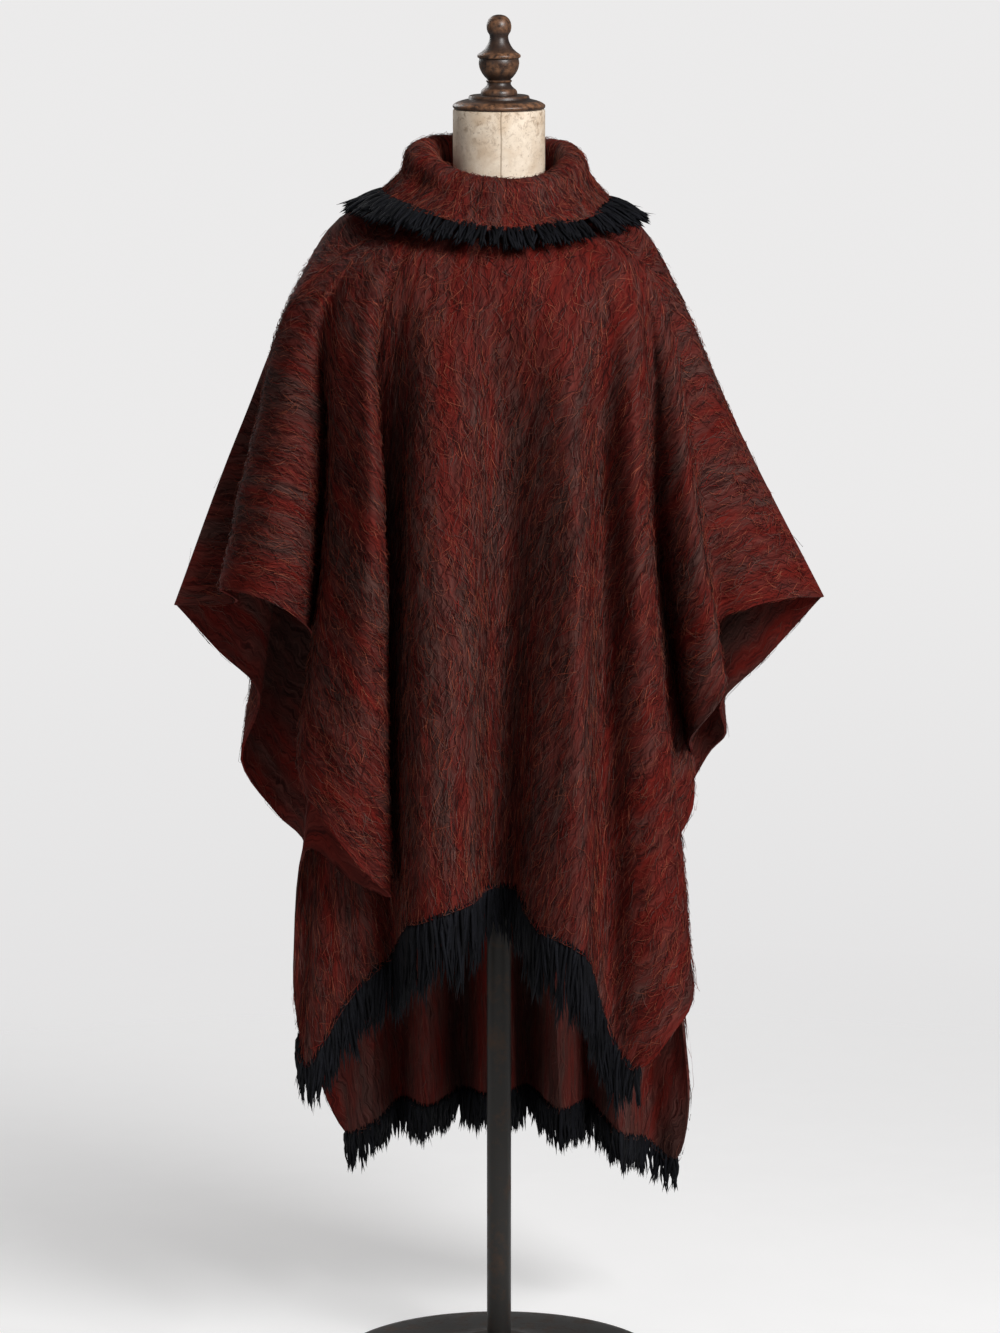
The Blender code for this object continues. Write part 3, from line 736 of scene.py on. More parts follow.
def add_locks(name, axes, outward, width, seed, spread, blunt, drop_share):
    """Fringe locks: three twisted yarns each, that part and taper, and a fine wisp."""
    random = np.random.default_rng(seed)
    count, stations = axes.shape[:2]
    t = np.linspace(0.0, 1.0, stations)
    tangent = unit(axes[:, -1] - axes[:, 0])
    sideways = unit(np.cross(tangent, outward))
    depth = np.cross(sideways, tangent)
    reach = np.linalg.norm(axes[:, -1] - axes[:, 0], axis=1)
    paths = []
    radii = []
    facing = []
    phase = random.uniform(0, 2 * np.pi, count)
    twist = random.uniform(2.0, 7.0, count) * random.choice((-1.0, 1.0), count)
    for yarn in range(4):
        wisp = yarn == 3
        share = random.uniform(0.84, 1.0, count) if not wisp else random.uniform(0.60, 1.04, count)
        share = 1 - (1 - share) * drop_share
        turn = phase[:, None] + 2 * np.pi * yarn / 3 + twist[:, None] * t[None, :]
        hold = width * 0.27 * (1 - 0.45 * t)[None, :]
        part = spread * reach[:, None] * (t ** 2.5)[None, :]
        drift = random.normal(0.0, 1.0, (count, 2)).clip(-1.6, 1.6) * (1.5 if wisp else 0.8)
        bend = random.normal(0.0, 0.4, (count, 2)).clip(-0.6, 0.6)
        along = np.sin(np.pi * t)[None, :]
        bow = spread * reach[:, None] * along
        move_side = hold * np.cos(turn) + part * drift[:, :1] + bow * bend[:, :1]
        move_deep = hold * np.sin(turn) + 0.5 * part * drift[:, 1:] + 0.4 * bow * bend[:, 1:]
        path = axes[:, :1] + (axes - axes[:, :1]) * share[:, None, None]
        path = path + move_side[..., None] * sideways[:, None] + move_deep[..., None] * depth[:, None]
        taper = np.array([0.5] + [1.0] * (stations - 2) + [0.0]) if blunt else 1 - 0.86 * t ** 1.7
        thick = width * (0.09 if wisp else 0.30) * taper[None, :] * random.uniform(0.8, 1.15, count)[:, None]
        thick[:, -1] = 0.0
        paths.append(path)
        radii.append(thick)
        facing.append(outward)
    paths = np.concatenate(paths)
    colour = np.array(settings().fringe.yarn_colour)
    colours = colour[None, :] * random.uniform(0.6, 1.6, len(paths))[:, None]
    return add_strands(name, paths, np.concatenate(radii), np.concatenate(facing), 5, colours)


def hem_axes(drape, corners, drops, seed):
    """Centre lines of the locks along a hem, evenly spaced on the flat cut."""
    random = np.random.default_rng(seed)
    first, last = corners
    spacing = settings().fringe.lock_spacing
    count = int(LOOM_WIDTH / spacing)
    u = (np.arange(count) + 0.5) / count * LOOM_WIDTH - LOOM_WIDTH / 2
    u = u + random.normal(0.0, spacing * 0.2, count)
    column = np.interp(u, drape.flat[-1, first:last + 1, 0], np.arange(first, last + 1))
    row = np.full(count, drape.points.shape[0] - 1.0)
    root = drape.at(drape.points, row, column)
    down = unit(drape.at(drape.down, row, column))
    outward = unit(drape.at(drape.outward, row, column))
    place = (column - first) / PANEL_COLUMNS_PER_FOLD
    drop = np.interp(place, np.arange(len(drops)), drops) * MM
    clump = smooth_noise(np.stack((u, np.zeros(count)), axis=1), (0.016, 1.0), seed)
    drop = drop * (0.84 + 0.22 * clump) * random.uniform(0.93, 1.0, count)
    tuft = np.floor(u / TUFT_WIDTH + 0.9 * smooth_noise(np.stack((u, u), axis=1), (0.05, 0.05), seed + 2))
    tuft = (tuft - tuft.min()).astype(int)
    drop = drop * random.uniform(0.76, 1.06, tuft.max() + 1)[tuft]
    plumb = np.array((0.0, 0.0, -1.0))
    lean = unit(0.55 * down + 0.6 * plumb)
    sway = random.normal(0.0, 0.045, (count, 3)) * np.array((1.0, 0.6, 0.0))
    middle = root + lean * (0.45 * drop)[:, None]
    end = root + (plumb + sway) * drop[:, None] + 0.10 * lean * drop[:, None]
    members = np.maximum(np.bincount(tuft), 1)
    for axis in (0, 1):
        centre = np.bincount(tuft, weights=end[:, axis]) / members
        end[:, axis] += TUFT_TIP_HOLD * (centre[tuft] - end[:, axis])
        centre = np.bincount(tuft, weights=middle[:, axis]) / members
        middle[:, axis] += TUFT_MIDDLE_HOLD * (centre[tuft] - middle[:, axis])
    nearest, farthest = drape.points[..., 1].min(), drape.points[..., 1].max()
    for knot in (middle, end):
        knot[:, 1] = np.clip(knot[:, 1], nearest, farthest)
    start = root - down * 0.005
    layer = np.where(np.arange(count) % 2 == 0, 0.0008, -0.0008)[:, None] * outward
    return bezier(start + layer, middle + layer, end + layer, 7), outward


def collar_fringe_axes(seed):
    random = np.random.default_rng(seed)
    half_notch = math.degrees(NOTCH_WIDTH / 2 / COLLAR_SECTIONS[7][6])
    count = 132
    spread = (360.0 - 2 * half_notch) / count
    angles = NOTCH_ANGLE + half_notch + (np.arange(count) + 0.5) * spread
    angles = np.concatenate((angles, angles[:-1] + spread / 2))
    section = collar_sections(angles).T
    edge_r, edge_z, tip_r, tip_z = section[6:10]
    layer = np.where(np.arange(len(angles)) < count, 1.5, -1.5)
    edge = ring_points(angles, edge_r - 6.0, edge_z + 4.0 + layer)
    share = random.uniform(0.70, 1.03, len(angles))
    tip_angles = np.clip(
        angles + random.normal(0.0, 2.0, len(angles)),
        angles.min() + NOTCH_FLARE, angles.max() - NOTCH_FLARE)
    tip_r = edge_r + (tip_r - edge_r) * share
    tip = ring_points(tip_angles, tip_r, edge_z + (tip_z - edge_z) * share)
    middle = (edge + tip) / 2
    middle[:, 2] += 6.0 + layer
    outward = unit(ring_points(angles, np.full_like(angles, 0.6), np.full_like(angles, 0.8)))
    return bezier(edge * MM, middle * MM, tip * MM, 7), outward


# ------------------------------------------------------------------ dress form, millimetres
TORSO_SECTIONS = (
    (795, 118, 82), (800, 145, 98), (820, 162, 110), (870, 165, 110), (960, 138, 96),
    (1050, 128, 92), (1150, 148, 106), (1250, 164, 112), (1320, 168, 100),
    (1365, 162, 88), (1392, 148, 78), (1408, 122, 70), (1420, 86, 63), (1430, 61, 57),
)
NECK_BLOCK = (
    (54.0, 1559.0), (55.0, 1558.5), (55.5, 1557.0), (55.5, 1530.0), (55.5, 1500.0),
    (55.5, 1465.0), (55.5, 1430.3),
)
NECK_CAP = (
    (33.5, 1576), (35.6, 1575.4), (36.5, 1574), (36.8, 1572.6), (37.4, 1571.4), (41, 1570.5),
    (45, 1569.5), (50, 1567.8), (53, 1566.2), (55.2, 1564.6), (55.8, 1563.2), (55.6, 1561.6),
    (54.6, 1560.2), (53.5, 1559.3),
)
FINIAL = (
    (3, 1672), (7, 1671), (10, 1669.2), (12.4, 1666.6), (14.2, 1663), (14.9, 1659),
    (14.8, 1655.5), (14.0, 1652), (12.6, 1649.6), (11.5, 1647.8), (11.1, 1646), (11.3, 1643.6),
    (12.2, 1640), (14.2, 1635.6), (17, 1631.4), (20.6, 1628), (24, 1625.6), (25.8, 1624.2),
    (26.2, 1622.6), (25.8, 1621), (24.2, 1620.2), (23.6, 1619.2), (24.2, 1616.8), (24.3, 1613.6),
    (23.7, 1609.4), (22.4, 1605.8), (20, 1601.4), (17.2, 1597.8), (15, 1595.6), (14.0, 1594.8),
    (14.6, 1594.2), (15.6, 1593.2), (15.4, 1592), (14.2, 1590.8), (14.4, 1588.8), (15.8, 1586.4),
    (18, 1584.4), (20.2, 1582.8), (21.6, 1580.8), (22, 1578.6), (22, 1576.3),
)
POLE = ((14.4, 794.7), (15, 794), (15, 600), (15, 400), (15, 200), (15, 30.3))
STAND_BASE = (
    (45, 30), (52, 28.6), (60, 24), (90, 21.6), (120, 20), (150, 17.8), (180, 15), (192, 12.6),
    (196, 11), (199, 8.6), (200, 6), (200, 0),
)


def turn_piece(name, sections, steps):
    """A turned piece: a disc extruded down through rings of (half width, half depth, height)."""
    select_only_none()
    width, depth, height = (value * MM for value in sections[0])
    bpy.ops.mesh.primitive_circle_add(
        vertices=steps, radius=width, fill_type="NGON", location=(0.0, 0.0, height))
    piece = bpy.context.object
    piece.name = name
    piece.data.name = name
    bpy.ops.object.mode_set(mode="EDIT")
    bpy.ops.mesh.select_all(action="SELECT")
    bpy.ops.transform.resize(value=(1.0, depth / width, 1.0))
    for near, far in zip(sections, sections[1:]):
        bpy.ops.mesh.extrude_region_move(
            TRANSFORM_OT_translate={"value": (0.0, 0.0, (far[2] - near[2]) * MM)})
        bpy.ops.transform.resize(value=(far[0] / near[0], far[1] / near[1], 1.0))
    bpy.ops.mesh.select_all(action="SELECT")
    bpy.ops.mesh.normals_make_consistent(inside=False)
    bpy.ops.object.mode_set(mode="OBJECT")
    bpy.ops.object.transform_apply(location=True, rotation=True, scale=True)
    bpy.ops.object.shade_smooth_by_angle(angle=math.radians(38))
    return piece


def select_only_none():
    if bpy.context.object and bpy.context.object.mode != "OBJECT":
        bpy.ops.object.mode_set(mode="OBJECT")
    bpy.ops.object.select_all(action="DESELECT")


def mark_wear(piece, profile):
    """An attribute that is 1 on the turning's proud edges, where varnish rubs off."""
    radius = np.array([row[0] for row in profile], dtype=float)
    height = np.array([row[1] for row in profile], dtype=float)
    around = np.interp(height[::-1], height[::-1], radius[::-1])[::-1]
    smooth = np.convolve(np.pad(around, 2, mode="edge"), np.full(5, 0.2), mode="valid")
    proud = np.clip((radius - smooth) / 1.2, 0.0, 1.0)
    wear = piece.data.attributes.new("wear", "FLOAT", "POINT")
    tall = np.array([vertex.co.z for vertex in piece.data.vertices]) / MM
    wear.data.foreach_set("value", np.interp(tall, height[::-1], proud[::-1]).astype(np.float32))


def round_sections(profile):
    return tuple((radius, radius, height) for radius, height in profile)


# ------------------------------------------------------------------ materials
def new_material(name):
    material = bpy.data.materials.new(name)
    material.use_nodes = True
    return material, material.node_tree, material.node_tree.nodes["Principled BSDF"]


def add_node(tree, kind, inputs=(), **properties):
    """A node with its properties set; inputs are (socket, value or output socket) pairs."""
    node = tree.nodes.new(kind)
    for key, value in properties.items():
        setattr(node, key, value)
    for key, value in inputs:
        if isinstance(value, bpy.types.NodeSocket):
            tree.links.new(value, node.inputs[key])
        else:
            node.inputs[key].default_value = value
    return node


def maths(tree, operation, first, second=0.0):
    return add_node(tree, "ShaderNodeMath", ((0, first), (1, second)), operation=operation).outputs[0]


def mix_colour(tree, factor, first, second, blend="MIX"):
    node = tree.nodes.new("ShaderNodeMix")
    node.data_type = "RGBA"
    node.blend_type = blend
    for key, value in ((0, factor), (6, first), (7, second)):
        if isinstance(value, bpy.types.NodeSocket):
            tree.links.new(value, node.inputs[key])
        elif key == 0:
            node.inputs[key].default_value = value
        else:
            node.inputs[key].default_value = (*value, 1.0)
    return node.outputs[2]


def remap(tree, value, low, high, to_low=0.0, to_high=1.0):
    node = add_node(tree, "ShaderNodeMapRange", (
        ("Value", value), ("From Min", low), ("From Max", high),
        ("To Min", to_low), ("To Max", to_high)))
    return node.outputs["Result"]


def noise(tree, vector, scale, detail=2.0, rough=0.5, warp=0.0):
    node = add_node(tree, "ShaderNodeTexNoise", (
        ("Vector", vector), ("Scale", scale), ("Detail", detail), ("Roughness", rough),
        ("Distortion", warp)))
    return node.outputs["Fac"]


def stretched(tree, vector, scale):
    return add_node(tree, "ShaderNodeMapping", (("Vector", vector), ("Scale", scale))).outputs[0]


def streak_group():
    """Brushed fibre streaks over a flat cut: a fine streak, a broad streak and a height."""
    if "brushed_streaks" in bpy.data.node_groups:
        return bpy.data.node_groups["brushed_streaks"]
    tree = bpy.data.node_groups.new("brushed_streaks", "ShaderNodeTree")
    tree.interface.new_socket("Cut", in_out="INPUT", socket_type="NodeSocketVector")
    tree.interface.new_socket("Fine", in_out="OUTPUT", socket_type="NodeSocketFloat")
    tree.interface.new_socket("Broad", in_out="OUTPUT", socket_type="NodeSocketFloat")
    tree.interface.new_socket("Height", in_out="OUTPUT", socket_type="NodeSocketFloat")
    source = tree.nodes.new("NodeGroupInput")
    result = tree.nodes.new("NodeGroupOutput")
    cut = source.outputs[0]
    sway = maths(tree, "SUBTRACT", noise(tree, cut, 26.0, 2.0, 0.55), 0.5)
    ripple = maths(tree, "SUBTRACT", noise(tree, cut, 95.0, 1.0, 0.5), 0.5)
    shift = maths(tree, "ADD", maths(tree, "MULTIPLY", sway, 0.030), maths(tree, "MULTIPLY", ripple, 0.008))
    offset = add_node(tree, "ShaderNodeCombineXYZ", ((0, shift),)).outputs[0]
    bent = add_node(tree, "ShaderNodeVectorMath", ((0, cut), (1, offset)), operation="ADD").outputs[0]
    fine = noise(tree, stretched(tree, bent, (430.0, 21.0, 1.0)), 1.0, 2.5, 0.6)
    middle = noise(tree, stretched(tree, bent, (170.0, 11.0, 1.0)), 1.0, 2.0, 0.6)
    broad = noise(tree, stretched(tree, bent, (52.0, 7.0, 1.0)), 1.0, 2.0, 0.5)
    both = maths(tree, "ADD", maths(tree, "MULTIPLY", fine, 0.6), maths(tree, "MULTIPLY", middle, 0.4))
    tree.links.new(both, result.inputs["Fine"])
    tree.links.new(broad, result.inputs["Broad"])
    tree.links.new(both, result.inputs["Height"])
    return tree


def cloth_material():
    """Dark woven ground under brushed red, rust and ash fibres, with painted light in the fine streaks:
    fibres painted lighter where the streak stands high, and the dark ground showing in the low gaps, partly
    dark ground yarn and partly painted shade between the fibres.
    """
    if "brushed_mohair" in bpy.data.materials:
        return bpy.data.materials["brushed_mohair"]
    material, tree, shader = new_material("brushed_mohair")
    cut = add_node(tree, "ShaderNodeUVMap", uv_map="flat_cut").outputs[0]
    dye = add_node(tree, "ShaderNodeAttribute", attribute_name="dye").outputs["Fac"]
    streaks = tree.nodes.new("ShaderNodeGroup")
    streaks.node_tree = streak_group()
    tree.links.new(cut, streaks.inputs[0])
    dyed = maths(tree, "MULTIPLY", dye, 0.55)
    red = remap(tree, maths(tree, "ADD", dyed, streaks.outputs["Broad"]), 0.50, 1.05)
    # painted highlight: the fine streak, which is also the bump's height below, makes the fibres lighter
    # where they stand highest
    lit = remap(tree, streaks.outputs["Fine"], 0.36, 0.66)
    warm = mix_colour(tree, lit, MAROON, BRICK)
    cool = mix_colour(tree, lit, CHARCOAL, ASH)
    fibres = mix_colour(tree, red, cool, warm)
    # painted shade: where the fine streak sinks, the dark ground colour shows, partly the dark ground yarn
    # and partly painted shade in the gaps between the fibres
    gap_shade_mask = remap(tree, streaks.outputs["Fine"], 0.30, 0.46)
    ground_and_gap_shade = tuple(settings().cloth.ground_and_gap_shade_colour)
    colour = mix_colour(tree, gap_shade_mask, ground_and_gap_shade, fibres)
    tree.links.new(colour, shader.inputs["Base Color"])
    bump = add_node(tree, "ShaderNodeBump", (
        ("Height", streaks.outputs["Height"]), ("Strength", 0.75), ("Distance", 0.0016)))
    tree.links.new(bump.outputs[0], shader.inputs["Normal"])
    shader.inputs["Roughness"].default_value = 0.85
    shader.inputs["Specular IOR Level"].default_value = 0.08
    shader.inputs["Sheen Weight"].default_value = 0.03
    shader.inputs["Sheen Roughness"].default_value = 0.45
    shader.inputs["Sheen Tint"].default_value = (0.55, 0.28, 0.22, 1.0)
    return material


def fibre_material(name, roughness, sheen, tint):
    """Fibres and yarns that carry their own dyed colour."""
    if name in bpy.data.materials:
        return bpy.data.materials[name]
    material, tree, shader = new_material(name)
    dyed = add_node(tree, "ShaderNodeAttribute", attribute_name="fibre_colour").outputs["Color"]
    place = add_node(tree, "ShaderNodeTexCoord").outputs["Object"]
    mottle = remap(tree, noise(tree, place, 420.0, 2.0, 0.6), 0.25, 0.75, 0.55, 1.35)
    shade = add_node(tree, "ShaderNodeCombineColor", ((0, mottle), (1, mottle), (2, mottle))).outputs[0]
    tree.links.new(mix_colour(tree, 1.0, dyed, shade, "MULTIPLY"), shader.inputs["Base Color"])
    shader.inputs["Roughness"].default_value = roughness
    shader.inputs["Specular IOR Level"].default_value = 0.12
    shader.inputs["Sheen Weight"].default_value = sheen
    shader.inputs["Sheen Tint"].default_value = (*tint, 1.0)
    return material


def nap_material():
    return fibre_material("mohair_nap", 0.70, 0.0, (0.8, 0.45, 0.35))


def fringe_material():
    return fibre_material("black_yarn", 0.72, 0.0, (0.4, 0.4, 0.45))


def cover_material():
    """Aged cream cover: faint mottling, brown stains near the top and a glued seam."""
    if "aged_cover" in bpy.data.materials:
        return bpy.data.materials["aged_cover"]
    material, tree, shader = new_material("aged_cover")
    place = add_node(tree, "ShaderNodeTexCoord").outputs["Object"]
    axes = add_node(tree, "ShaderNodeSeparateXYZ", ((0, place),))
    cream = tuple(settings().form.cover_colour)
    mottle = remap(tree, noise(tree, place, 58.0, 6.0, 0.68), 0.35, 0.72)
    aged = mix_colour(tree, maths(tree, "MULTIPLY", mottle, 0.55), cream, (0.60, 0.47, 0.33))
    height = remap(tree, axes.outputs["Z"], 1.485, 1.556, 0.12, 1.0)
    patch = remap(tree, noise(tree, place, 120.0, 6.0, 0.74, 0.5), 0.50, 0.68)
    stain = maths(tree, "MULTIPLY", maths(tree, "MULTIPLY", patch, height), 0.85)
    cloud = remap(tree, noise(tree, place, 22.0, 4.0, 0.6, 0.4), 0.46, 0.66)
    tanned = mix_colour(tree, maths(tree, "MULTIPLY", cloud, 0.5), aged, (0.55, 0.36, 0.20))
    stained = mix_colour(tree, stain, tanned, (0.27, 0.16, 0.085))
    speck = remap(tree, noise(tree, place, 320.0, 3.0, 0.6), 0.63, 0.71)
    flecked = mix_colour(tree, maths(tree, "MULTIPLY", speck, 0.45), stained, (0.25, 0.15, 0.09))
    stray = maths(tree, "MULTIPLY", noise(tree, place, 26.0), 0.0034)
    beside = maths(tree, "SUBTRACT", axes.outputs["X"], maths(tree, "ADD", stray, 0.0006))
    from_seam = maths(tree, "ABSOLUTE", beside)
    on_line = remap(tree, from_seam, 0.0005, 0.0013, 1.0, 0.0)
    in_front = remap(tree, axes.outputs["Y"], -0.040, -0.030, 1.0, 0.0)
    seam = maths(tree, "MULTIPLY", on_line, in_front)
    tree.links.new(
        mix_colour(tree, maths(tree, "MULTIPLY", seam, 0.55), flecked, (0.22, 0.14, 0.08)),
        shader.inputs["Base Color"])
    height_map = maths(tree, "SUBTRACT", maths(tree, "MULTIPLY", mottle, 0.35), seam)
    bump = add_node(tree, "ShaderNodeBump", (
        ("Height", height_map), ("Strength", 0.5), ("Distance", 0.0006)))
    tree.links.new(bump.outputs[0], shader.inputs["Normal"])
    shader.inputs["Roughness"].default_value = 0.62
    shader.inputs["Specular IOR Level"].default_value = 0.35
    return material


def wood_material():
    """Dark varnished turning, rubbed brown on its proud edges."""
    if "varnished_wood" in bpy.data.materials:
        return bpy.data.materials["varnished_wood"]
    material, tree, shader = new_material("varnished_wood")
    place = add_node(tree, "ShaderNodeTexCoord").outputs["Object"]
    wear = add_node(tree, "ShaderNodeAttribute", attribute_name="wear").outputs["Fac"]
    dark = tuple(settings().form.wood_colour)
    cloud = noise(tree, place, 46.0, 5.0, 0.65)
    brown = mix_colour(tree, remap(tree, cloud, 0.42, 0.70), dark, (0.070, 0.034, 0.019))
    scuff = noise(tree, place, 150.0, 6.0, 0.7)
    rubbed = maths(tree, "MULTIPLY", wear, remap(tree, scuff, 0.38, 0.60))
    worn = mix_colour(tree, rubbed, brown, (0.28, 0.130, 0.062))
    grain = noise(tree, stretched(tree, place, (420.0, 420.0, 40.0)), 1.0, 3.0, 0.6)
    pores = maths(tree, "MULTIPLY", remap(tree, grain, 0.5, 0.8), 0.4)
    lined = mix_colour(tree, pores, worn, (0.010, 0.006, 0.005))
    tree.links.new(lined, shader.inputs["Base Color"])
    tree.links.new(remap(tree, scuff, 0.3, 0.7, 0.30, 0.52), shader.inputs["Roughness"])
    bump = add_node(tree, "ShaderNodeBump", (("Height", grain), ("Strength", 0.35), ("Distance", 0.0004)))
    tree.links.new(bump.outputs[0], shader.inputs["Normal"])
    shader.inputs["Coat Weight"].default_value = 0.08
    shader.inputs["Coat Roughness"].default_value = 0.3
    return material


def iron_material():
    """Blackened iron with a little rust bloom."""
    if "blackened_iron" in bpy.data.materials:
        return bpy.data.materials["blackened_iron"]
    material, tree, shader = new_material("blackened_iron")
    place = add_node(tree, "ShaderNodeTexCoord").outputs["Object"]
    dark = tuple(settings().form.iron_colour)
    bloom = remap(tree, noise(tree, place, 38.0, 6.0, 0.7), 0.50, 0.72)
    tree.links.new(mix_colour(tree, bloom, dark, (0.075, 0.045, 0.030)), shader.inputs["Base Color"])
    tree.links.new(remap(tree, bloom, 0.0, 1.0, 0.42, 0.7), shader.inputs["Roughness"])
    pits = noise(tree, place, 320.0, 3.0, 0.6)
    bump = add_node(tree, "ShaderNodeBump", (("Height", pits), ("Strength", 0.3), ("Distance", 0.0005)))
    tree.links.new(bump.outputs[0], shader.inputs["Normal"])
    shader.inputs["Metallic"].default_value = 0.6
    return material


# ------------------------------------------------------------------ operators
class PONCHO_OT_form(bpy.types.Operator):
    """Model the torso, neck block, turned cap, finial, pole and base"""
    bl_idname = "poncho.form"
    bl_label = "Dress Form"

    def execute(self, context):
        steps = settings().form.turning_steps
        torso_rows = tuple((wide, deep, high) for high, wide, deep in reversed(TORSO_SECTIONS))
        torso = turn_piece("form_torso", torso_rows, steps)
        finish_piece(torso, cover_material(), "form_cover", "torso")
        block = turn_piece("form_neck_block", round_sections(NECK_BLOCK), steps)
        finish_piece(block, cover_material(), "form_cover", "neck_block")
        for name, profile, node in (
            ("form_neck_cap", NECK_CAP, "neck_cap"),
            ("form_finial", FINIAL, "finial"),
        ):
            turning = turn_piece(name, round_sections(profile), steps)
            mark_wear(turning, profile)
            finish_piece(turning, wood_material(), "turned_wood", node)
        for name, profile, node in (
            ("form_pole", POLE, "pole"),
            ("form_base", STAND_BASE, "stand_base"),
        ):
            turning = turn_piece(name, round_sections(profile), steps)
            finish_piece(turning, iron_material(), "stand_iron", node)
        return {"FINISHED"}


class PONCHO_OT_front_panel(bpy.types.Operator):
    """Drape the front panel, brush its nap and hang its hem fringe"""
    bl_idname = "poncho.front_panel"
    bl_label = "Front Panel"

    def execute(self, context):
        drape, corners = front_drape()
        panel = add_cloth("front_cloth", drape, False, settings().cloth.thickness)
        finish_piece(panel, cloth_material(), "poncho_cloth", "front_panel")
        count = settings().nap.front_fibres
        for number, (first, last) in enumerate(((0.0, 0.36), (0.36, 0.62), (0.62, 1.0))):
            share = (0.36, 0.32, 0.32)[number]
            nap = brush_nap(
                f"front_nap_{number + 1}", drape, (0.0, -1.0), int(count * share), 101 + number,
                first=first, last=last)
            finish_piece(nap, nap_material(), "poncho_cloth")
        drops = np.array(FRONT_FRINGE_DROPS, dtype=float)
        axes, outward = hem_axes(drape, corners, drops, 201)
        fringe = add_locks(
            "front_hem_fringe", axes, outward, settings().fringe.lock_width, 211, 0.065, False, 1.0)
        finish_piece(fringe, fringe_material(), "fringe_yarn", "front_fringe")
        return {"FINISHED"}


class PONCHO_OT_back_panel(bpy.types.Operator):
    """Drape the back panel, brush its nap and hang its hem fringe"""
    bl_idname = "poncho.back_panel"
    bl_label = "Back Panel"

    def execute(self, context):
        drape, corners = back_drape()
        panel = add_cloth("back_cloth", drape, True, settings().cloth.thickness)
        finish_piece(panel, cloth_material(), "poncho_cloth", "back_panel")
        nap = brush_nap(
            "back_nap", drape, (0.0, 1.0), settings().nap.back_fibres, 121, reach=(0.03, 0.07))
        goes_with = [finish_piece(nap, nap_material(), "poncho_cloth")]
        inner = Drape(drape.points, drape.flat, 1.0)
        lining = brush_nap(
            "back_inner_nap", inner, (0.0, 1.0), settings().nap.inner_fibres, 125, lift=0.0018,
            matted=0.55, above=0.30)
        goes_with.append(finish_piece(lining, nap_material(), "poncho_cloth"))
        drops = np.full(corners[1] - corners[0] + 1, BACK_FRINGE_DROP)
        axes, outward = hem_axes(drape, corners, drops, 221)
        fringe = add_locks(
            "back_hem_fringe", axes, outward, settings().fringe.lock_width, 231, 0.085, False, 1.0)
        goes_with.append(finish_piece(fringe, fringe_material(), "fringe_yarn", "back_fringe"))
        return {"FINISHED"}


class PONCHO_OT_collar(bpy.types.Operator):
    """Roll the collar, brush its nap and lay its fringe over the shoulders"""
    bl_idname = "poncho.collar"
    bl_label = "Collar"

    def execute(self, context):
        drape = collar_drape()
        collar = add_cloth("collar_roll", drape, False, 0.004)
        finish_piece(collar, cloth_material(), "poncho_cloth", "collar")
        nap = brush_nap(
            "collar_nap", drape, (0.0, 1.0), settings().nap.collar_fibres, 131,
            reach=(0.016, 0.040), above=0.25)
        goes_with = [finish_piece(nap, nap_material(), "poncho_cloth")]
        axes, outward = collar_fringe_axes(241)
        fringe = add_locks("collar_yarn_fringe", axes, outward, 0.0058, 251, 0.13, True, 0.8)
        goes_with.append(finish_piece(fringe, fringe_material(), "fringe_yarn", "collar_fringe"))
        return {"FINISHED"}


class PONCHO_OT_studio(bpy.types.Operator):
    """Set the pale floor, the soft lights, the room and the camera"""
    bl_idname = "poncho.studio"
    bl_label = "Studio"

    def execute(self, context):
        add_floor()
        add_world()
        studio = settings().studio
        add_lamp("key", (2.2, -3.2, 3.5), (0.0, 0.0, 1.30), 2.0, studio.key_power)
        add_lamp("fill", (-3.4, -4.0, 1.9), (0.0, 0.0, 0.9), 2.6, studio.fill_power)
        add_lamp("back fill", (-2.4, 3.6, 3.0), (0.0, 0.0, 1.0), 2.6, studio.back_power)
        camera = bpy.data.cameras.new("camera")
        camera.lens = 157.0
        camera.sensor_width = 36.0
        holder = bpy.data.objects.new("camera", camera)
        holder.location = (0.0012, -7.0, 2.05)
        holder.rotation_euler = aim(holder.location, (0.0012, 0.0, 0.88))
        context.scene.collection.objects.link(holder)
        context.scene.camera = holder
        context.scene.view_settings.view_transform = "Standard"
        context.scene.view_settings.look = "None"
        return {"FINISHED"}


def aim(place, target):
    return (Vector(target) - Vector(place)).to_track_quat("-Z", "Y").to_euler()


def add_lamp(name, place, target, size, power):
    lamp = bpy.data.lights.new(name, "AREA")
    lamp.shape = "DISK"
    lamp.size = size
    lamp.energy = power
    holder = bpy.data.objects.new(name, lamp)
    holder.location = place
    holder.rotation_euler = aim(place, target)
    bpy.context.scene.collection.objects.link(holder)


def add_floor():
    """A pale floor that fades out into the room's colour, so no edge shows."""
    select_only_none()
    bpy.ops.mesh.primitive_circle_add(vertices=96, radius=2.6, fill_type="NGON")
    floor = bpy.context.object
    floor.name = "floor"
    material, tree, shader = new_material("floor_paper")
    place = add_node(tree, "ShaderNodeTexCoord").outputs["Object"]
    far = add_node(tree, "ShaderNodeVectorMath", ((0, place),), operation="LENGTH").outputs["Value"]
    tree.links.new(remap(tree, far, 0.7, 2.5, 1.0, 0.0), shader.inputs["Alpha"])
    grain = remap(tree, noise(tree, place, 9.0, 3.0, 0.6), 0.3, 0.7, 0.78, 0.80)
    paper = add_node(tree, "ShaderNodeCombineColor", ((0, grain), (1, grain), (2, grain))).outputs[0]
    tree.links.new(paper, shader.inputs["Base Color"])
    shader.inputs["Roughness"].default_value = 0.9
    shader.inputs["Specular IOR Level"].default_value = 0.1
    shader.inputs["Emission Color"].default_value = (1.0, 0.99, 0.99, 1.0)
    shader.inputs["Emission Strength"].default_value = 0.31
    floor.data.materials.append(material)


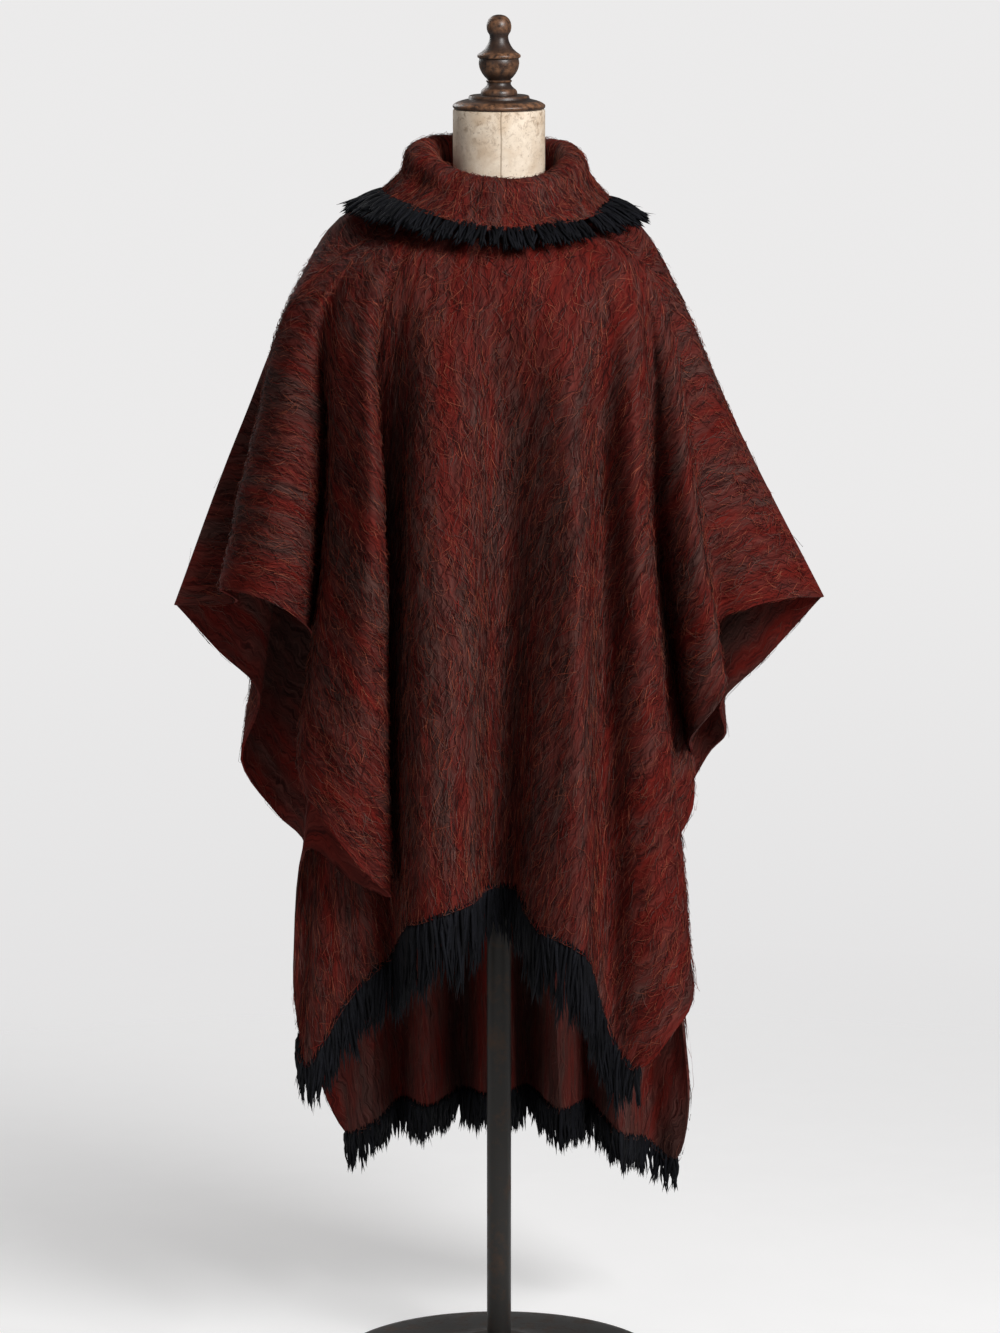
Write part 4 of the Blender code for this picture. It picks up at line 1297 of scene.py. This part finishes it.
def add_world():
    """A pale room that the camera sees brighter than it lights, and sees darker below the horizon as a
    painted shade of the floor.
    """
    world = bpy.data.worlds.new("studio_room")
    bpy.context.scene.world = world
    world.use_nodes = True
    tree = world.node_tree
    room = tree.nodes["Background"]
    heading = add_node(tree, "ShaderNodeTexCoord").outputs["Generated"]
    axes = add_node(tree, "ShaderNodeSeparateXYZ", ((0, heading),))
    # painted shade: the room the camera sees is darker below the horizon, standing in for a floor that gets
    # less light
    low = remap(tree, axes.outputs["Z"], -0.14, -0.27)
    shade = mix_colour(tree, low, (0.835, 0.828, 0.828), (0.74, 0.735, 0.74))
    tree.links.new(shade, room.inputs["Color"])
    room.inputs["Strength"].default_value = 1.0
    glow = add_node(tree, "ShaderNodeBackground", (
        ("Color", (1.0, 0.985, 0.97, 1.0)), ("Strength", settings().studio.ambient)))
    path = add_node(tree, "ShaderNodeLightPath")
    blend = add_node(tree, "ShaderNodeMixShader", (
        (0, path.outputs["Is Camera Ray"]), (1, glow.outputs[0]), (2, room.outputs[0])))
    tree.links.new(blend.outputs[0], tree.nodes["World Output"].inputs[0])


class PONCHO_PT_panel(bpy.types.Panel):
    """Builds the poncho, its form and its studio"""
    bl_label = "Andean Poncho"
    bl_idname = "PONCHO_PT_panel"
    bl_space_type = "VIEW_3D"
    bl_region_type = "UI"
    bl_category = "Poncho"

    def draw(self, context):
        layout = self.layout
        for group in ("cloth", "nap", "fringe", "form", "studio"):
            box = layout.box()
            box.label(text=group.title())
            values = getattr(context.scene.poncho, group)
            for key in values.bl_rna.properties.keys():
                if key not in {"rna_type", "name"}:
                    box.prop(values, key)
        for operator in BUILD_ORDER:
            layout.operator(operator.bl_idname)


BUILD_ORDER = (
    PONCHO_OT_form,
    PONCHO_OT_front_panel,
    PONCHO_OT_back_panel,
    PONCHO_OT_collar,
    PONCHO_OT_studio,
)
CLASSES = (
    PonchoClothSettings,
    PonchoNapSettings,
    PonchoFringeSettings,
    DressFormSettings,
    StudioSettings,
    PonchoSettings,
    *BUILD_ORDER,
    PONCHO_PT_panel,
)


def register():
    for kind in CLASSES:
        bpy.utils.register_class(kind)
    bpy.types.Scene.poncho = bpy.props.PointerProperty(
        type=PonchoSettings, name="Poncho", description="Sizes and colours of the poncho")


def unregister():
    del bpy.types.Scene.poncho
    for kind in reversed(CLASSES):
        bpy.utils.unregister_class(kind)


def main():
    register()
    bpy.ops.poncho.form()
    bpy.ops.poncho.front_panel()
    bpy.ops.poncho.back_panel()
    bpy.ops.poncho.collar()
    bpy.ops.poncho.studio()


if __name__ == "__main__":
    main()
